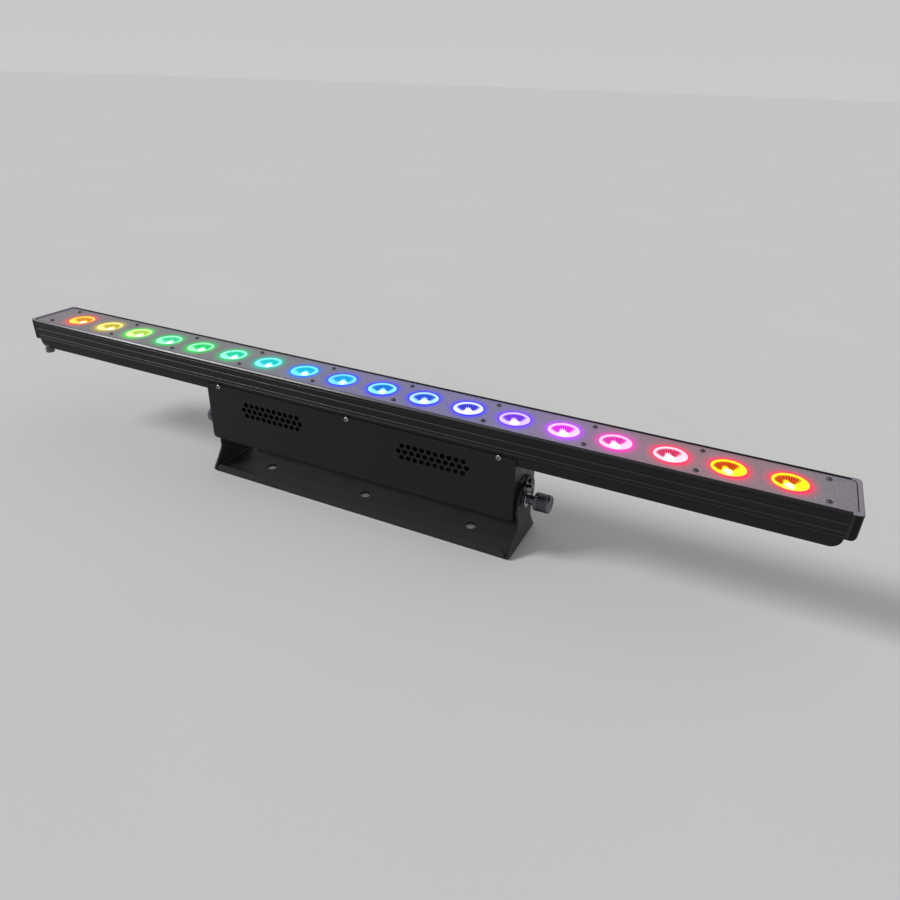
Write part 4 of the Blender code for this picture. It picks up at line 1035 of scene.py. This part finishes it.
def make_fuse():
    """Fuse holder ring and the slotted bayonet cap."""
    low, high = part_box("fuse_holder")
    where = (middle("fuse_holder").x, CONNECTOR_Z)
    face, bore, body, flange, soft = high.y, 0.0042, 0.0060, 0.0080, 0.0003
    profile = [(low.y, bore), (low.y, body), (PANEL_BACK, body), (PANEL_BACK, flange),
               (face - soft, flange), (face, flange - soft), (face, bore), (low.y, bore)]
    piece("fuse_holder_ring", built(add_turned, profile, "Y", where, 56), "plastic", "fuse_holder")
    low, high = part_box("fuse_cap")
    seat = face + GAP
    profile = [(low.y, 0), (low.y, 0.0038), (seat, 0.0038), (seat, 0.0064), (seat + 0.0004, 0.0068),
               (high.y - 0.0010, 0.0066), (high.y - 0.0004, 0.0062), (high.y, 0.0056), (high.y, 0)]
    slot = built(add_pad, *where, 0.0090, 0.0007, high.y - 0.0012, high.y + CUT)
    shape = carve(built(add_turned, profile, "Y", where, 56), slot)
    piece("fuse_cap_slotted", shape, "fuse", "fuse_cap", "fuse_carrier")


def make_control_panel():
    """Bezel with its display window, lit digits and four domed buttons."""
    panel = middle("control_panel")
    window_low, window_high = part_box("display_window")
    holes = [rectangle((window_low.x - GAP, window_low.z - GAP), (window_high.x + GAP, window_high.z + GAP))]
    holes += [circle((middle(node).x, middle(node).z), BUTTON_HOLE, 40) for node in BUTTONS]
    outline = rounded_outline(panel_high.x, panel_high.z - panel.z, 0.003, 8, (0, panel.z))
    shape = built(add_sheet, outline, holes, "Y", PANEL_BACK, PANEL_FACE, 0.00035)
    piece("control_panel_bezel", shape, "plastic", "control_panel")
    for number, node in enumerate(BUTTONS, 1):
        low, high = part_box(node)
        stem, flange, cap, soft = 0.0020, 0.0048, 0.0035, 0.0008
        profile = [(low.y, 0), (low.y, stem), (PANEL_BACK - 0.0034, stem), (PANEL_BACK - 0.0034, flange),
                   (PANEL_BACK - 0.0024, flange), (PANEL_BACK - 0.0024, cap)]
        profile += arc((high.y - soft, cap - soft), soft, 90, 0, 6)
        profile += [(high.y - 0.0003, 0.0012), (high.y - 0.0004, 0)]
        shape = built(add_turned, profile, "Y", (middle(node).x, middle(node).z), 40)
        piece(f"{node}_cap", shape, "nylon", node, f"button_{number}")
    make_digits(middle("display_window").z, window_high.y)


def make_digits(centre_z, face):
    """Three seven-segment digits lit behind the window."""
    lit, where = start_material("lit_digit", Roughness=0.3)
    finishes["digits"] = feed(lit, Base_Color=(0.05, 0.01, 0.01), Emission_Color=(1.0, 0.10, 0.04),
                              Emission_Strength=noise(where, 900.0).spread(0.3, 0.7, 1.6, 2.4))
    half_wide, half_tall, thick, end_gap, spacing = 0.0022, 0.0042, 0.00045, 0.0006, 0.0085
    flat, upright = (half_wide - end_gap, thick), (thick, half_tall / 2 - end_gap)
    # strokes: place across and up, in halves of a digit, and half sizes
    one = [(1, 0.5, upright), (1, -0.5, upright)]
    zero = [(0, 1, flat), (0, -1, flat), (-1, 0.5, upright), (-1, -0.5, upright)] + one
    shape = bmesh.new()
    # seen from behind the object, the row of digits reads towards -X
    for place, digit in zip((1, 0, -1), (zero, zero, one)):
        for across, up, half in digit:
            add_pad(shape, place * spacing - across * half_wide, centre_z + up * half_tall, *half,
                    face - 0.0002, face + 0.00006)
    piece("display_digits", shape, "digits")


# ---- nodes kept as they are, with their own finish ----
KEPT = {"holder": ["lens_holder"], "supply": ["power_supply"], "green": ["control_board"],
        "window": ["display_window"], "steel": ["pivot_nut_left", "pivot_nut_right"],
        "nylon": ["friction_washer_left", "friction_washer_right"],
        "board": ["led_board_left", "led_board_centre", "led_board_right"]}


def finish_kept_nodes():
    for finish, nodes in KEPT.items():
        for node in nodes:
            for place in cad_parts[node].material_slots:
                place.material = finishes[finish]


# ---- stage, light and camera ----

def make_stage():
    """A wide pale floor and one soft sun."""
    paint, where = start_material("pale_floor", Specular_IOR_Level=0.0)
    cloudy = noise(where, 3.0)
    feed(paint, Base_Color=blend(cloudy, (0.70, 0.70, 0.70), (0.74, 0.74, 0.735)),
         Roughness=cloudy.spread(0.3, 0.7, 0.62, 0.70))
    rings = [[(0, 0, 0)]] + [[(*point, 0) for point in circle((0, 0), radius, 64)] for radius in (2, 8, 40)]
    floor = loose_object("studio_floor", built(add_loft, rings))
    floor.data.materials.append(paint)

    sun = bpy.data.lights.new("key_light", "SUN")
    sun.energy, sun.color, sun.angle = 1.45, (1.0, 0.995, 0.985), math.radians(18)
    made = placed("key_light", sun)
    made.location = (-1.6, -0.9, 1.75)
    made.rotation_euler = (Vector((0, 0, 0.08)) - made.location).to_track_quat("-Z", "Y").to_euler()


def make_sky():
    """A pale sky that is as bright at the horizon as the far floor, and dimmer overhead."""
    world = bpy.data.worlds.new("studio_world")
    bpy.context.scene.world = world
    world.use_nodes = True
    _, _, up = Value(add_node(world.node_tree, "ShaderNodeTexCoord", {}).outputs["Generated"]).parts()
    sky = world.node_tree.nodes["Background"]
    set_socket(sky.inputs["Color"], (0.995, 0.998, 1.0))
    set_socket(sky.inputs["Strength"], up.spread(0.0, 1.0, SKY_HORIZON, SKY_OVERHEAD))


def make_camera():
    """The photograph's viewpoint: right of the middle, looking back along the bar and down."""
    azimuth, elevation, roll = 24.68, 28.29, 2.04
    data = bpy.data.cameras.new("camera")
    data.lens, data.sensor_width = 27.82, 36.0
    made = placed("camera", data)
    made.matrix_world = Matrix.Translation((0.3905, -0.6090, 0.4531))
    for degrees, axis in ((azimuth, "Z"), (90 - elevation, "X"), (roll, "Z")):
        made.matrix_world = made.matrix_world @ Matrix.Rotation(math.radians(degrees), 4, axis)
    bpy.context.scene.camera = made
    # a plain transform keeps the lamps' colours as strong as a photograph that overexposes them
    bpy.context.scene.view_settings.view_transform = "Standard"


make_housing()
make_end_cap("end_cap_right", 1)
make_end_cap("end_cap_left", -1)
make_face_plate()
make_lenses()
make_back_cover()
make_breather_plug()
make_driver_box()
make_front_cover()
make_bracket()
for name, side in (("right", 1), ("left", -1)):
    make_washer(name, side)
    make_knob(name, side)
    make_guide_bolt(name, side)
make_data_socket("dmx_in_socket", True)
make_data_socket("dmx_out_socket", False)
make_latch()
make_power_socket("power_inlet", True)
make_power_socket("power_outlet", False)
make_fuse()
make_control_panel()
finish_kept_nodes()
make_stage()
make_sky()
make_camera()
